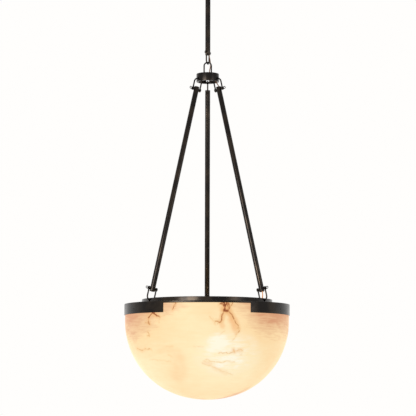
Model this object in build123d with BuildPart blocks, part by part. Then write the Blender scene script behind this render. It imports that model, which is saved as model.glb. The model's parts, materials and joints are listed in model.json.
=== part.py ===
from build123d import *
from math import acos, atan2, cos, degrees, hypot, pi, radians, sin, tan
import os

# Alabaster bowl pendant, in millimetres. +Z is up and the origin is on the ceiling, at the
# middle of the canopy, so the whole fixture hangs below Z = 0. -Y is the front.

# ---------------------------------------------------------------- driving dimensions
# Ceiling end
canopy_radius = 70.0
canopy_height = 25.0
canopy_wall = 2.0
canopy_edge = 3.0               # rounding of the canopy's lower edge
backing_plate_radius = 31.0
backing_plate_thickness = 4.0
crossbar_play = 4.0             # between the ends of the crossbar and the canopy's wall
crossbar_width = 26.0
crossbar_thickness = 2.5
box_slot_spacing = 79.4         # between the two screws of a ceiling box
box_slot_land = 4.3             # metal between a box slot and the stud beside it
box_slot_width = 4.8
stud_end_distance = 6.0         # from a canopy stud to the end of the crossbar
stud_diameter = 4.0
stud_tail = 5.0                 # how far the studs reach into their cap nuts
cap_nut_radius = 5.0
cap_nut_height = 8.5
ground_screw_x = 12.0
ground_screw_y = -7.5
ground_screw_diameter = 4.0
screw_head_height = 2.4

# Bails: U bolts that stand out of the canopy and of the hub
wire_diameter = 4.5
bail_width = 22.5               # centre to centre of the legs
bail_reach = 37.0               # from the face that it stands on to the middle of its crown
bail_tail = 1.0                 # leg left past its nut
nut_size = 8.0                  # across flats
nut_height = 4.0

# Shackles with eye pins: one and the same link at every end of every tube
shackle_width = 25.0            # centre to centre of the legs
shackle_reach = 36.0            # from the middle of the bow's wire to the pin
ear_radius = 5.6
ear_thickness = 4.6
pin_diameter = 5.0
pin_collar_radius = 4.2
pin_collar_thickness = 1.6
pin_tail = 1.8                  # how far a pin shows past the inner ear
pin_eye_radius = 3.3
pin_eye_wire = 2.2
pin_clearance = 0.08            # radial, where a tube turns on its pin
link_gap = 0.3                  # between two wires that hook through each other
stem_pin_angle = 250.0          # where the eyes of the stem's two pins point

# Tubes
tube_diameter = 16.0
tube_wall = 2.0
tube_end = 8.0                  # from a pin to the end of its tube
stem_length = 305.0

# Hub
hub_radius = 35.3
hub_height = 25.3
hub_wall = 6.0
hub_top_thickness = 5.0
hub_edge = 1.0
hook_hole_diameter = 9.0
hook_hole_edge = 0.6
hub_hook_drop = 16.9            # from the hub's top face to the wires in its wall
hub_hook_ride = 0.8             # each wire lies this much below the middle of its hole

# Hangers
hanger_count = 3
first_hanger_angle = 90.0
hanger_drop = 695.5             # height from the hooks in the hub to the hooks in the ring

# Bowl ring: a flat ring with tabs round the bowl, and an upright ring that it hangs by
ring_radius = 254.2
ring_width = 76.2               # from the ring's edge in to its bore
ring_thickness = 4.5
ring_edge = 0.7
tab_thickness = 2.1
tab_depth = 33.9                # from the ring's top face to the tabs' lower edge
tab_angle = 58.5
hanging_ring_inset = 53.5       # from the ring's edge in to the hanging ring
hanging_ring_wall = 4.5
hanging_ring_height = 14.8
hanging_ring_edge = 0.6
ring_hook_rise = 7.9            # from the ring's top face to the wires in the hanging ring
ring_hook_ride = 0.6            # each wire lies this much above the middle of its hole

# Alabaster bowl
bowl_clearance = 0.4            # between the bowl and the tabs
bowl_collar = 45.0              # straight wall below the rim
bowl_side_offset = 14.0         # the side arc's centre lies this far out from the axis
bowl_side_sweep = 74.0          # degrees of side arc before the flatter base takes over
bowl_wall = 12.0
bowl_lip = 1.5                  # rounding of the rim's edges
gasket_thickness = 1.5
gasket_inset = 3.0
set_screw_diameter = 5.0
set_screw_reach = 5.0           # into the stone
set_screw_clearance = 0.3
set_screw_recess = 0.2
set_screw_socket = 2.5          # across flats
set_screw_height = 19.0         # below the ring's top face

# Lamp cluster
spider_arm_width = 20.0
spider_thickness = 3.0
spider_overlap = 14.0           # of each arm under the ring's lip
spider_disc_radius = 38.0
spider_screw_inset = 6.0        # from the end of an arm to its screw
spider_screw_diameter = 5.0
spider_screw_tail = 1.0
pan_head_radius = 4.5
screw_clearance = 0.2
pipe_diameter = 14.0
pipe_length = 45.0              # from the spider down to the cup
nipple_diameter = 10.0
nipple_bore = 7.0
nipple_tail = 1.5
nipple_nut_size = 14.0
nipple_nut_height = 4.0
nipple_clearance = 0.1
nut_seat_play = 1.3             # round the flats of the nuts that sit inside the cup's cone
cup_radius = 30.0
cup_wall = 2.5
cup_side = 14.0                 # straight wall, above the cone
cup_cone = 20.0                 # height of the cone, which is square to the lamps
lamp_count = 3
first_lamp_angle = 300.0
lamp_tilt = 45.0                # from straight down
arm_length = 6.0                # from the cone to the lampholder
holder_radius = 19.0
holder_length = 44.0
holder_back = 6.0
holder_edge = 1.0
shell_wall = 0.6
shell_length = 30.0
shell_rise = 2.0                # from the lampholder's floor to its brass shell
contact_foot_radius = 6.0
contact_foot = 1.0
contact_radius = 3.0
bulb_seat = 12.0                # from the lampholder's floor to the tip of the bulb's base
bulb_base_radius = 13.0
bulb_base_length = 24.0
bulb_base_gap = 0.3             # between a bulb's base and the lampholder's shell
bulb_neck = 4.0                 # straight glass between the base and the taper
bulb_radius = 30.0
bulb_length = 106.0
bulb_glass = 1.2

# Lamp cable
cable_diameter = 3.0
lead_diameter = 2.0
cable_gap = 0.4                 # between two lengths of cable that meet inside a tube
cable_slack = 0.25              # between the cable and a pin that it passes
cable_spot_x = 5.3              # where it goes through the canopy and through the hub
cable_spot_y = 6.5
bushing_radius = 3.0
bushing_bore = 1.75
bushing_flange_radius = 4.2
bushing_flange = 1.0
connector_length = 22.0
connector_mouth = 6.0           # radius of a wire connector's open end
connector_tip = 3.6
clip_inner_radius = 60.0        # the inner clip that holds the cable down on its spider arm
clip_bore_distance = 48.0       # from the ring's bore in to the outer clip
clip_length = 6.0
clip_wall = 1.2
clip_play = 0.3

fit_gap = 0.05                  # between fixed round parts that go through each other

# ---------------------------------------------------------------- derived sizes and heights
wire_radius = wire_diameter / 2
tube_radius = tube_diameter / 2
tube_bore_radius = tube_radius - tube_wall
hook_hole_radius = hook_hole_diameter / 2
cable_radius = cable_diameter / 2
cable_beside_pin = pin_diameter / 2 + cable_slack + cable_radius
linked = wire_diameter + link_gap

crossbar_length = 2 * (canopy_radius - canopy_wall - crossbar_play)
stud_spacing = crossbar_length - 2 * stud_end_distance
box_slot_length = stud_spacing - stud_diameter - 2 * box_slot_land - box_slot_spacing

canopy_face_z = -canopy_height
canopy_inside_z = canopy_face_z + canopy_wall
backing_top_z = canopy_inside_z + backing_plate_thickness
canopy_crown_z = canopy_face_z - bail_reach
upper_bow_z = canopy_crown_z + linked
upper_pin_z = upper_bow_z - shackle_reach
stem_top_z = upper_pin_z + tube_end
stem_bottom_z = stem_top_z - stem_length
lower_pin_z = stem_bottom_z + tube_end
lower_bow_z = lower_pin_z - shackle_reach
hub_crown_z = lower_bow_z + linked
hub_top_z = hub_crown_z - bail_reach
hub_inside_z = hub_top_z - hub_top_thickness
hub_bottom_z = hub_top_z - hub_height
hub_hook_z = hub_top_z - hub_hook_drop
ring_hook_z = hub_hook_z - hanger_drop
ring_top_z = ring_hook_z - ring_hook_rise
ring_under_z = ring_top_z - ring_thickness
rim_z = ring_under_z - gasket_thickness
spider_under_z = ring_under_z - spider_thickness
cup_top_z = spider_under_z - pipe_length
cup_cone_z = cup_top_z - cup_side
cup_bottom_z = cup_cone_z - cup_cone

ring_bore_radius = ring_radius - ring_width
clip_radii = [clip_inner_radius, ring_bore_radius - clip_bore_distance]
hanging_ring_radius = ring_radius - hanging_ring_inset
spider_reach = ring_bore_radius + spider_overlap
spider_screw_radius = spider_reach - spider_screw_inset

hub_hook_radius = hub_radius - hub_wall / 2
ring_hook_radius = hanging_ring_radius - hanging_ring_wall / 2
hanger_length = hypot(ring_hook_radius - hub_hook_radius, hanger_drop)
hanger_lean = degrees(atan2(ring_hook_radius - hub_hook_radius, hanger_drop))
hanger_names = ["back", "left", "right"]
hanger_angles = [first_hanger_angle + 360 / hanger_count * n for n in range(hanger_count)]
cable_angle = hanger_angles[-1]
rod_top_distance = shackle_reach - tube_end
rod_length = hanger_length - 2 * rod_top_distance

bowl_radius = ring_radius - tab_thickness - bowl_clearance
bowl_arc_z = rim_z - bowl_collar
bowl_side_radius = bowl_radius - bowl_side_offset
bowl_base_radius = bowl_side_radius + bowl_side_offset / cos(radians(bowl_side_sweep))
bowl_base_z = bowl_arc_z + bowl_side_offset * tan(radians(bowl_side_sweep))

lamp_angles = [first_lamp_angle + 360 / lamp_count * n for n in range(lamp_count)]
cup_bottom_radius = cup_radius - cup_cone / tan(radians(lamp_tilt))
cone_middle_radius = (cup_radius + cup_bottom_radius) / 2
cone_middle_z = (cup_cone_z + cup_bottom_z) / 2
shell_radius = bulb_base_radius + bulb_base_gap + shell_wall


# ---------------------------------------------------------------- helpers
def outward(angle, radius, z, sideways=0.0):
    """A point at a radius and a height, sideways of the line that runs out at the angle."""
    a = radians(angle)
    x = radius * cos(a) - sideways * sin(a)
    y = radius * sin(a) + sideways * cos(a)
    return Vector(x, y, z)


def on_hanger(angle, distance, sideways=0.0, outwards=0.0):
    """A plane on a hanger's line, this far down from its hook: X along the pins, Z up."""
    lean = radians(hanger_lean)
    radial = outward(angle, 1.0, 0.0)
    up_line = Vector(-radial.X * sin(lean), -radial.Y * sin(lean), cos(lean))
    pin_line = Vector(radial.X * cos(lean), radial.Y * cos(lean), sin(lean))
    line = Plane(outward(angle, hub_hook_radius, hub_hook_z), x_dir=pin_line, z_dir=up_line)
    line.origin = line.from_local_coords(Vector(outwards, sideways, -distance))
    return line


def upright(angle, z):
    """A level plane on the axis of the fixture, with X towards the angle."""
    return Plane(origin=(0, 0, z), x_dir=outward(angle, 1.0, 0.0), z_dir=(0, 0, 1))


def turned_over(plane):
    """The same plane with Z the other way, about its own X."""
    return Plane(origin=plane.origin, x_dir=plane.x_dir, z_dir=-plane.z_dir)


def square_to_pin(link, height=0.0, offset=0.0):
    """A plane square to a link's X, at a height on the link and an offset along X."""
    origin = link.from_local_coords(Vector(offset, 0, height))
    return Plane(origin=origin, x_dir=link.z_dir, z_dir=link.x_dir)


def side_view(link):
    """The plane in which a link's outline is drawn: X along its pin, Y along its legs."""
    return Plane(origin=link.origin, x_dir=link.x_dir, z_dir=-link.y_dir)


def cable_radii(points):
    """The largest arc that each corner of a cable's route has room for."""
    radii = []
    for before, here, after in zip(points, points[1:], points[2:]):
        run_in, run_out = here - before, after - here
        half_turn = radians(run_in.get_angle(run_out)) / 2
        radii.append(0.45 * min(run_in.length, run_out.length) / tan(half_turn))
    return radii


def cable_tube(name, points, diameter=cable_diameter):
    """A cable along straight runs joined by arcs."""
    points = [Vector(*p) for p in points]
    radii = cable_radii(points)
    with BuildPart() as cable:
        with BuildLine() as route:
            if radii:
                FilletPolyline(*points, radius=radii)
            else:
                Line(*points)
        with BuildSketch(route.wire() ^ 0):
            Circle(diameter / 2)
        sweep()
    expected = pi * diameter**2 / 4 * route.wire().length
    tightest = round(min(radii), 1) if radii else "straight"
    print(name, "length", round(route.wire().length, 1), "tightest arc", tightest,
          "volume", round(cable.part.volume, 1), "of", round(expected, 1))
    return cable.part


def save(shape, name):
    """Label a finished piece and write it under its name."""
    shape.label = name
    export_step(shape, f"parts/{name}.step")


os.makedirs("parts", exist_ok=True)


# ---------------------------------------------------------------- links and fasteners
def make_bail(face, legs_inside):
    """A U bolt standing out of a face, with its legs reaching some way in behind it."""
    half = bail_width / 2
    with BuildPart() as bail:
        with BuildLine(side_view(face)) as path:
            leg = Line((-half, -legs_inside), (-half, bail_reach - half))
            crown = ThreePointArc(leg @ 1, (0, bail_reach), (half, bail_reach - half))
            Line(crown @ 1, (half, -legs_inside))
        with BuildSketch(path.wire() ^ 0):
            Circle(wire_radius)
        sweep()
    return bail.part


def make_shackle(bow):
    """A U link. bow is at the middle of its bow's wire, with X along the pin, Z to the ears."""
    half = shackle_width / 2
    with BuildPart() as shackle:
        with BuildLine(side_view(bow)) as path:
            leg = Line((-half, shackle_reach), (-half, half))
            arc = ThreePointArc(leg @ 1, (0, 0), (half, half))
            Line(arc @ 1, (half, shackle_reach))
        with BuildSketch(path.wire() ^ 0):
            Circle(wire_radius)
        sweep()
        for side in (-half, half):
            with BuildSketch(square_to_pin(bow, shackle_reach, side)):
                Circle(ear_radius)
            extrude(amount=ear_thickness / 2, both=True)
        with BuildSketch(square_to_pin(bow, shackle_reach)):
            Circle(pin_diameter / 2 + fit_gap)
        extrude(amount=shackle_width, both=True, mode=Mode.SUBTRACT)
    return shackle.part


def make_eye_pin(pivot):
    """An eye pin. pivot is in the middle of its tube, with X out to the eye."""
    ear_face = shackle_width / 2 + ear_thickness / 2
    inner_end = -ear_face - pin_tail
    eye_middle = ear_face + pin_collar_thickness + pin_eye_radius
    with BuildPart() as pin:
        with BuildSketch(square_to_pin(pivot, offset=inner_end)):
            Circle(pin_diameter / 2)
        extrude(amount=ear_face - inner_end)
        tip = pin.edges().group_by(Axis(pivot.origin, pivot.x_dir))[0]
        chamfer(tip, pin_diameter / 10)
        with BuildSketch(square_to_pin(pivot, offset=ear_face)):
            Circle(pin_collar_radius)
        extrude(amount=pin_collar_thickness)
        eye = Plane(
            origin=pivot.from_local_coords(Vector(eye_middle, 0, 0)),
            x_dir=pivot.x_dir,
            z_dir=pivot.y_dir,
        )
        with BuildSketch(eye):
            Circle(pin_eye_radius + pin_eye_wire / 2)
            Circle(pin_eye_radius - pin_eye_wire / 2, mode=Mode.SUBTRACT)
        extrude(amount=pin_eye_wire / 2, both=True)
        rims = pin.edges().filter_by(GeomType.CIRCLE).filter_by(
            lambda e: abs(e.radius - pin_eye_radius - pin_eye_wire / 2) < fit_gap
        )
        fillet(rims, pin_eye_wire / 4)
    return pin.part


def make_tube(top, length):
    """A tube that hangs from top, with a cross hole for a pin near each end."""
    with BuildPart() as tube:
        with BuildSketch(top):
            Circle(tube_radius)
            Circle(tube_bore_radius, mode=Mode.SUBTRACT)
        extrude(amount=-length)
        rims = tube.edges().filter_by(GeomType.CIRCLE).filter_by(
            lambda e: abs(e.radius - tube_radius) < fit_gap
        )
        chamfer(rims, tube_wall / 4)
        for height in (-tube_end, tube_end - length):
            with BuildSketch(square_to_pin(top, height)):
                Circle(pin_diameter / 2 + pin_clearance)
            extrude(amount=tube_diameter, both=True, mode=Mode.SUBTRACT)
    return tube.part


def make_nuts(face, spots, size, height, thread_radius):
    """Hexagon nuts that sit on a face, at spots on it."""
    with BuildPart() as nuts:
        with BuildSketch(face):
            with Locations(*spots):
                RegularPolygon(size / 2, 6, major_radius=False)
                Circle(thread_radius + fit_gap, mode=Mode.SUBTRACT)
        extrude(amount=height)
    return nuts.part


def make_pan_screws(face, spots, diameter, length):
    """Pan head screws with cross slots: the heads sit on the face and the shanks go in."""
    with BuildPart() as screws:
        with BuildSketch(face):
            with Locations(*spots):
                Circle(pan_head_radius)
        extrude(amount=screw_head_height)
        rims = screws.edges().group_by(Axis(face.origin, face.z_dir))[-1]
        fillet(rims, screw_head_height / 2)
        with BuildSketch(face):
            with Locations(*spots):
                Circle(diameter / 2)
        extrude(amount=-length)
        top = Plane(face.from_local_coords(Vector(0, 0, screw_head_height)),
                    x_dir=face.x_dir, z_dir=face.z_dir)
        with BuildSketch(top):
            with Locations(*spots):
                Rectangle(pan_head_radius, diameter / 5)
                Rectangle(diameter / 5, pan_head_radius)
        extrude(amount=-screw_head_height / 2, mode=Mode.SUBTRACT)
    return screws.part


def make_bushing(face, through):
    """A grommet for the cable: a flange on the outside of a face and a sleeve through it."""
    spot = face.to_local_coords(Vector(cable_spot_x, cable_spot_y, face.origin.Z))
    with BuildPart() as bushing:
        with BuildSketch(face):
            with Locations((spot.X, spot.Y)):
                Circle(bushing_flange_radius)
                Circle(bushing_bore, mode=Mode.SUBTRACT)
        extrude(amount=bushing_flange)
        fillet(
            bushing.edges().group_by(Axis(face.origin, face.z_dir))[-1], bushing_flange / 3
        )
        with BuildSketch(face):
            with Locations((spot.X, spot.Y)):
                Circle(bushing_radius)
                Circle(bushing_bore, mode=Mode.SUBTRACT)
        extrude(amount=-through)
    return bushing.part


# ---------------------------------------------------------------- ceiling end
canopy_face = turned_over(Plane.XY.offset(canopy_face_z))
bail_spots = [(-bail_width / 2, 0), (bail_width / 2, 0)]
stud_spots = [(-stud_spacing / 2, 0), (stud_spacing / 2, 0)]
canopy_stack = canopy_wall + backing_plate_thickness

with BuildPart() as canopy:
    with BuildSketch(Plane.XY.offset(canopy_face_z)):
        Circle(canopy_radius)
    extrude(amount=canopy_height)
    fillet(canopy.edges().group_by(Axis.Z)[0], canopy_edge)
    with BuildSketch(Plane.XY.offset(canopy_inside_z)):
        Circle(canopy_radius - canopy_wall)
    extrude(amount=canopy_height, mode=Mode.SUBTRACT)
    with BuildSketch(Plane.XY.offset(canopy_face_z)):
        with Locations(*bail_spots):
            Circle(wire_radius + fit_gap)
        with Locations(*stud_spots):
            Circle(stud_diameter / 2 + fit_gap)
        with Locations((cable_spot_x, cable_spot_y)):
            Circle(bushing_radius + fit_gap)
    extrude(amount=canopy_wall, mode=Mode.SUBTRACT)
save(canopy.part, "canopy")

with BuildPart() as canopy_backing_plate:
    with BuildSketch(Plane.XY.offset(canopy_inside_z)):
        Circle(backing_plate_radius)
        with Locations(*bail_spots):
            Circle(wire_radius + fit_gap, mode=Mode.SUBTRACT)
        with Locations((cable_spot_x, cable_spot_y)):
            Circle(bushing_radius + fit_gap, mode=Mode.SUBTRACT)
    extrude(amount=backing_plate_thickness)
save(canopy_backing_plate.part, "canopy_backing_plate")

save(make_bail(canopy_face, canopy_stack + nut_height + bail_tail), "canopy_bail")
save(
    make_nuts(Plane.XY.offset(backing_top_z), bail_spots, nut_size, nut_height, wire_radius),
    "canopy_bail_nuts",
)
save(make_bushing(canopy_face, canopy_stack), "canopy_bushing")

with BuildPart() as mounting_crossbar:
    with BuildSketch(Plane.XY.offset(-crossbar_thickness)):
        RectangleRounded(crossbar_length, crossbar_width, crossbar_width / 8)
        with Locations((-box_slot_spacing / 2, 0), (box_slot_spacing / 2, 0)):
            SlotOverall(box_slot_length, box_slot_width, mode=Mode.SUBTRACT)
        with Locations(*stud_spots):
            Circle(stud_diameter / 2 + fit_gap, mode=Mode.SUBTRACT)
        with Locations((ground_screw_x, ground_screw_y)):
            Circle(ground_screw_diameter / 2 + fit_gap, mode=Mode.SUBTRACT)
    extrude(amount=crossbar_thickness)
save(mounting_crossbar.part, "mounting_crossbar")

with BuildPart() as crossbar_studs:
    with BuildSketch(Plane.XY.offset(canopy_face_z - stud_tail)):
        with Locations(*stud_spots):
            Circle(stud_diameter / 2)
    extrude(amount=canopy_height + stud_tail)
    chamfer(crossbar_studs.edges().group_by(Axis.Z)[0], stud_diameter / 10)
save(crossbar_studs.part, "crossbar_studs")

with BuildPart() as canopy_cap_nuts:
    with BuildSketch(canopy_face):
        with Locations(*stud_spots):
            Circle(cap_nut_radius)
    extrude(amount=cap_nut_height)
    fillet(canopy_cap_nuts.edges().group_by(Axis.Z)[0], cap_nut_radius * 0.8)
    with BuildSketch(canopy_face):
        with Locations(*stud_spots):
            Circle(stud_diameter / 2 + fit_gap)
    extrude(amount=stud_tail + fit_gap, mode=Mode.SUBTRACT)
save(canopy_cap_nuts.part, "canopy_cap_nuts")

ground_face = turned_over(Plane.XY.offset(-crossbar_thickness))
save(
    make_pan_screws(
        ground_face,
        [(ground_screw_x, -ground_screw_y)],
        ground_screw_diameter,
        crossbar_thickness,
    ),
    "ground_screw",
)

# Wiring inside the canopy: three connectors lie side by side behind the front wall
connector_z = backing_top_z + connector_mouth + 1.0
connector_mouth_y = -33.0
connector_spots = [-19.0, 0.0, 19.0]
with BuildPart() as wire_connectors:
    for x in connector_spots:
        mouth = Plane(origin=(x, connector_mouth_y, connector_z), z_dir=(0, -1, 0))
        with BuildSketch(mouth):
            RegularPolygon(connector_mouth, 12)
        with BuildSketch(mouth.offset(connector_length)):
            RegularPolygon(connector_tip, 12)
        loft()
        with BuildSketch(mouth):
            Circle(lead_diameter)
        extrude(amount=connector_length / 2, mode=Mode.SUBTRACT)
save(wire_connectors.part, "wire_connectors")

cable_split = Vector(0, -20, connector_z)
save(
    cable_tube(
        "canopy_cable",
        [
            (cable_spot_x, cable_spot_y, canopy_face_z - bushing_flange - 1.0),
            (cable_spot_x, cable_spot_y, connector_z - 1.5),
            (cable_spot_x - 1.0, cable_spot_y - 9.0, connector_z + 3.0),
            (1.0, -9.0, connector_z + 2.0),
            cable_split,
        ],
    ),
    "canopy_cable",
)

lead_start = lead_diameter / 2 + fit_gap
connector_inside_y = connector_mouth_y - connector_length / 3
with BuildPart() as supply_leads:
    for side, x in ((-1, connector_spots[0]), (1, connector_spots[1])):
        reach = x - side * lead_start
        add(
            cable_tube(
                "supply_lead",
                [
                    (side * lead_start, cable_split.Y - lead_diameter, connector_z),
                    (side * lead_start + reach * 0.15, cable_split.Y - 5.0, connector_z + 1.0),
                    (x, connector_mouth_y + 4.0, connector_z),
                    (x, connector_inside_y, connector_z),
                ],
                lead_diameter,
            )
        )
    ground_z = -crossbar_thickness - screw_head_height - lead_diameter / 2 - fit_gap
    add(
        cable_tube(
            "ground_lead",
            [
                (ground_screw_x, ground_screw_y, ground_z),
                (ground_screw_x + 5.0, ground_screw_y - 9.0, ground_z - 1.5),
                (connector_spots[2], connector_mouth_y + 8.0, connector_z),
                (connector_spots[2], connector_inside_y, connector_z),
            ],
            lead_diameter,
        )
    )
save(supply_leads.part, "supply_leads")

# ---------------------------------------------------------------- stem and its shackles
# Both bows hook the bails from inside, and both pins point the same way.
upper_bow = turned_over(upright(stem_pin_angle, upper_bow_z))
lower_bow = upright(stem_pin_angle, lower_bow_z)
stem_axis = upright(stem_pin_angle, stem_top_z)

save(make_shackle(upper_bow), "upper_shackle")
save(make_eye_pin(upright(stem_pin_angle, upper_pin_z)), "upper_shackle_pin")
save(make_tube(stem_axis, stem_length), "stem")
save(make_shackle(lower_bow), "lower_shackle")
save(make_eye_pin(upright(stem_pin_angle, lower_pin_z)), "lower_shackle_pin")


def beside_stem_pin(z):
    """The middle of the cable in the stem's bore, to the right of the pins."""
    return outward(stem_pin_angle, 0.0, z, cable_beside_pin)


def loop_route(tube_end_z, face_z):
    """The slack cable between an end of the stem and the face that the stem hangs by or holds."""
    way = 1 if face_z > tube_end_z else -1
    flange = bushing_flange + 1.0
    inside = tube_end + cable_radius
    return [
        beside_stem_pin(tube_end_z - way * inside),
        beside_stem_pin(tube_end_z + way * 2.0),
        Vector(cable_spot_x + 1.6, 1.6, tube_end_z + way * 13.0),
        Vector(cable_spot_x + 3.4, 6.0, tube_end_z + way * 26.0),
        Vector(cable_spot_x + 2.6, 8.0, tube_end_z + way * 39.0),
        Vector(cable_spot_x, cable_spot_y, face_z - way * (flange + 9.0)),
        Vector(cable_spot_x, cable_spot_y, face_z - way * flange),
    ]


save(cable_tube("upper_cable_loop", loop_route(stem_top_z, canopy_face_z)), "upper_cable_loop")
save(cable_tube("lower_cable_loop", loop_route(stem_bottom_z, hub_top_z)), "lower_cable_loop")
cable_in_stem = tube_end + cable_radius + cable_gap
save(
    cable_tube(
        "stem_cable",
        [
            beside_stem_pin(stem_top_z - cable_in_stem),
            beside_stem_pin(stem_bottom_z + cable_in_stem),
        ],
    ),
    "stem_cable",
)

# ---------------------------------------------------------------- hub
with BuildPart() as hub:
    with BuildSketch(Plane.XY.offset(hub_bottom_z)):
        Circle(hub_radius)
    extrude(amount=hub_height)
    fillet(hub.edges(), hub_edge)
    with BuildSketch(Plane.XY.offset(hub_bottom_z)):
        Circle(hub_radius - hub_wall)
    extrude(amount=hub_height - hub_top_thickness, mode=Mode.SUBTRACT)
    with BuildSketch(Plane.XY.offset(hub_top_z)):
        with Locations(*bail_spots):
            Circle(wire_radius + fit_gap)
        with Locations((cable_spot_x, cable_spot_y)):
            Circle(bushing_radius + fit_gap)
    extrude(amount=-hub_height, mode=Mode.SUBTRACT)
    for angle in hanger_angles:
        hole = upright(angle, hub_hook_z + hub_hook_ride)
        with BuildSketch(square_to_pin(hole)):
            Circle(hook_hole_radius)
        extrude(amount=hub_radius * 2, mode=Mode.SUBTRACT)
save(hub.part, "hub")

hub_face = Plane.XY.offset(hub_top_z)
hub_cavity_roof = turned_over(Plane.XY.offset(hub_inside_z))
save(make_bail(hub_face, hub_top_thickness + nut_height + bail_tail), "hub_bail")
save(make_nuts(hub_cavity_roof, bail_spots, nut_size, nut_height, wire_radius), "hub_bail_nuts")
save(make_bushing(hub_face, hub_top_thickness), "hub_bushing")

rod_mouth = rod_top_distance + tube_end / 2
save(
    cable_tube(
        "hub_cable",
        [
            (cable_spot_x, cable_spot_y, hub_top_z + bushing_flange + 1.0),
            (cable_spot_x, cable_spot_y, hub_inside_z - 5.0),
            outward(cable_angle, 17.0, hub_bottom_z + 8.0, 6.6),
            outward(cable_angle, 27.0, hub_bottom_z - 2.0, 5.2),
            on_hanger(cable_angle, rod_top_distance - 3.0, cable_beside_pin).origin,
            on_hanger(cable_angle, rod_mouth, cable_beside_pin).origin,
        ],
    ),
    "hub_cable",
)

# ---------------------------------------------------------------- hangers
for angle, name in zip(hanger_angles, hanger_names):
    top_bow = turned_over(on_hanger(angle, 0.0))
    bottom_bow = on_hanger(angle, hanger_length)
    save(make_shackle(top_bow), f"{name}_top_shackle")
    save(make_tube(on_hanger(angle, rod_top_distance), rod_length), f"{name}_rod")
    save(make_shackle(bottom_bow), f"{name}_bottom_shackle")
    with BuildPart() as eye_pins:
        add(make_eye_pin(on_hanger(angle, shackle_reach)))
        add(make_eye_pin(on_hanger(angle, hanger_length - shackle_reach)))
    save(eye_pins.part, f"{name}_eye_pins")

save(
    cable_tube(
        "rod_cable",
        [
            on_hanger(cable_angle, rod_mouth + cable_gap, cable_beside_pin).origin,
            on_hanger(
                cable_angle, hanger_length - rod_mouth - cable_gap, cable_beside_pin
            ).origin,
        ],
    ),
    "rod_cable",
)

# ---------------------------------------------------------------- bowl ring
with BuildPart() as bowl_ring:
    with BuildSketch(Plane.XY.offset(ring_under_z)):
        Circle(ring_radius)
        Circle(ring_bore_radius, mode=Mode.SUBTRACT)
    extrude(amount=ring_thickness)
    with BuildSketch(Plane.XY.offset(ring_under_z)):
        for angle in hanger_angles:
            with BuildLine():
                start = angle - tab_angle / 2
                outside = CenterArc((0, 0), ring_radius, start, tab_angle)
                inside = CenterArc((0, 0), ring_radius - tab_thickness, start, tab_angle)
                Line(outside @ 0, inside @ 0)
                Line(outside @ 1, inside @ 1)
            make_face()
    extrude(amount=ring_thickness - tab_depth)
    fillet(bowl_ring.edges().group_by(Axis.Z)[-1], ring_edge)
    for angle in hanger_angles:
        screw_line = upright(angle, ring_top_z - set_screw_height)
        with BuildSketch(square_to_pin(screw_line)):
            Circle(set_screw_diameter / 2 + fit_gap)
        extrude(amount=ring_radius * 2, mode=Mode.SUBTRACT)
    for angle in hanger_angles:
        screw_spot = outward(angle, spider_screw_radius, 0.0)
        with BuildSketch(Plane.XY.offset(ring_top_z)):
            with Locations((screw_spot.X, screw_spot.Y)):
                Circle(spider_screw_diameter / 2 + screw_clearance)
        extrude(amount=-ring_thickness, mode=Mode.SUBTRACT)
save(bowl_ring.part, "bowl_ring")

with BuildPart() as hanging_ring:
    with BuildSketch(Plane.XY.offset(ring_top_z)):
        Circle(hanging_ring_radius)
        Circle(hanging_ring_radius - hanging_ring_wall, mode=Mode.SUBTRACT)
    extrude(amount=hanging_ring_height)
    fillet(hanging_ring.edges().group_by(Axis.Z)[-1], hanging_ring_edge)
    for angle in hanger_angles:
        hole = upright(angle, ring_hook_z - ring_hook_ride)
        with BuildSketch(square_to_pin(hole)):
            Circle(hook_hole_radius)
        extrude(amount=hanging_ring_radius * 2, mode=Mode.SUBTRACT)
save(hanging_ring.part, "hanging_ring")


# ---------------------------------------------------------------- alabaster bowl
def bowl_section(inset):
    """Half of the bowl's section, set in from its outside by a wall's thickness."""
    sweep_angle = radians(bowl_side_sweep)
    half_sweep = sweep_angle / 2
    side = bowl_side_radius - inset
    base = bowl_base_radius - inset
    rim = (bowl_radius - inset, rim_z)
    shoulder = (bowl_radius - inset, bowl_arc_z)
    middle = (
        bowl_side_offset + side * cos(half_sweep),
        bowl_arc_z - side * sin(half_sweep),
    )
    join = (
        bowl_side_offset + side * cos(sweep_angle),
        bowl_arc_z - side * sin(sweep_angle),
    )
    low_angle = (sweep_angle + pi / 2) / 2
    low = (base * cos(low_angle), bowl_base_z - base * sin(low_angle))
    foot = (0, bowl_base_z - base)
    with BuildSketch(Plane.XZ) as section:
        with BuildLine():
            Line((0, rim_z), rim)
            Line(rim, shoulder)
            ThreePointArc(shoulder, middle, join)
            ThreePointArc(join, low, foot)
            Line(foot, (0, rim_z))
        make_face()
    return section.sketch


with BuildPart() as alabaster_bowl:
    add(bowl_section(0.0))
    revolve(axis=Axis.Z)
    add(bowl_section(bowl_wall))
    revolve(axis=Axis.Z, mode=Mode.SUBTRACT)
    fillet(alabaster_bowl.edges().group_by(Axis.Z)[-1], bowl_lip)
    for angle in hanger_angles:
        start = outward(angle, bowl_radius - set_screw_reach - set_screw_clearance,
                        ring_top_z - set_screw_height)
        direction = outward(angle, 1.0, 0.0)
        with BuildSketch(Plane(origin=start, z_dir=direction)):
            Circle(set_screw_diameter / 2 + set_screw_clearance)
        extrude(amount=bowl_wall, mode=Mode.SUBTRACT)
save(alabaster_bowl.part, "alabaster_bowl")

with BuildPart() as rim_gasket:
    with BuildSketch(Plane.XY.offset(rim_z)):
        Circle(bowl_radius - gasket_inset)
        Circle(bowl_radius - bowl_wall + gasket_inset, mode=Mode.SUBTRACT)
    extrude(amount=gasket_thickness)
save(rim_gasket.part, "rim_gasket")

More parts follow.
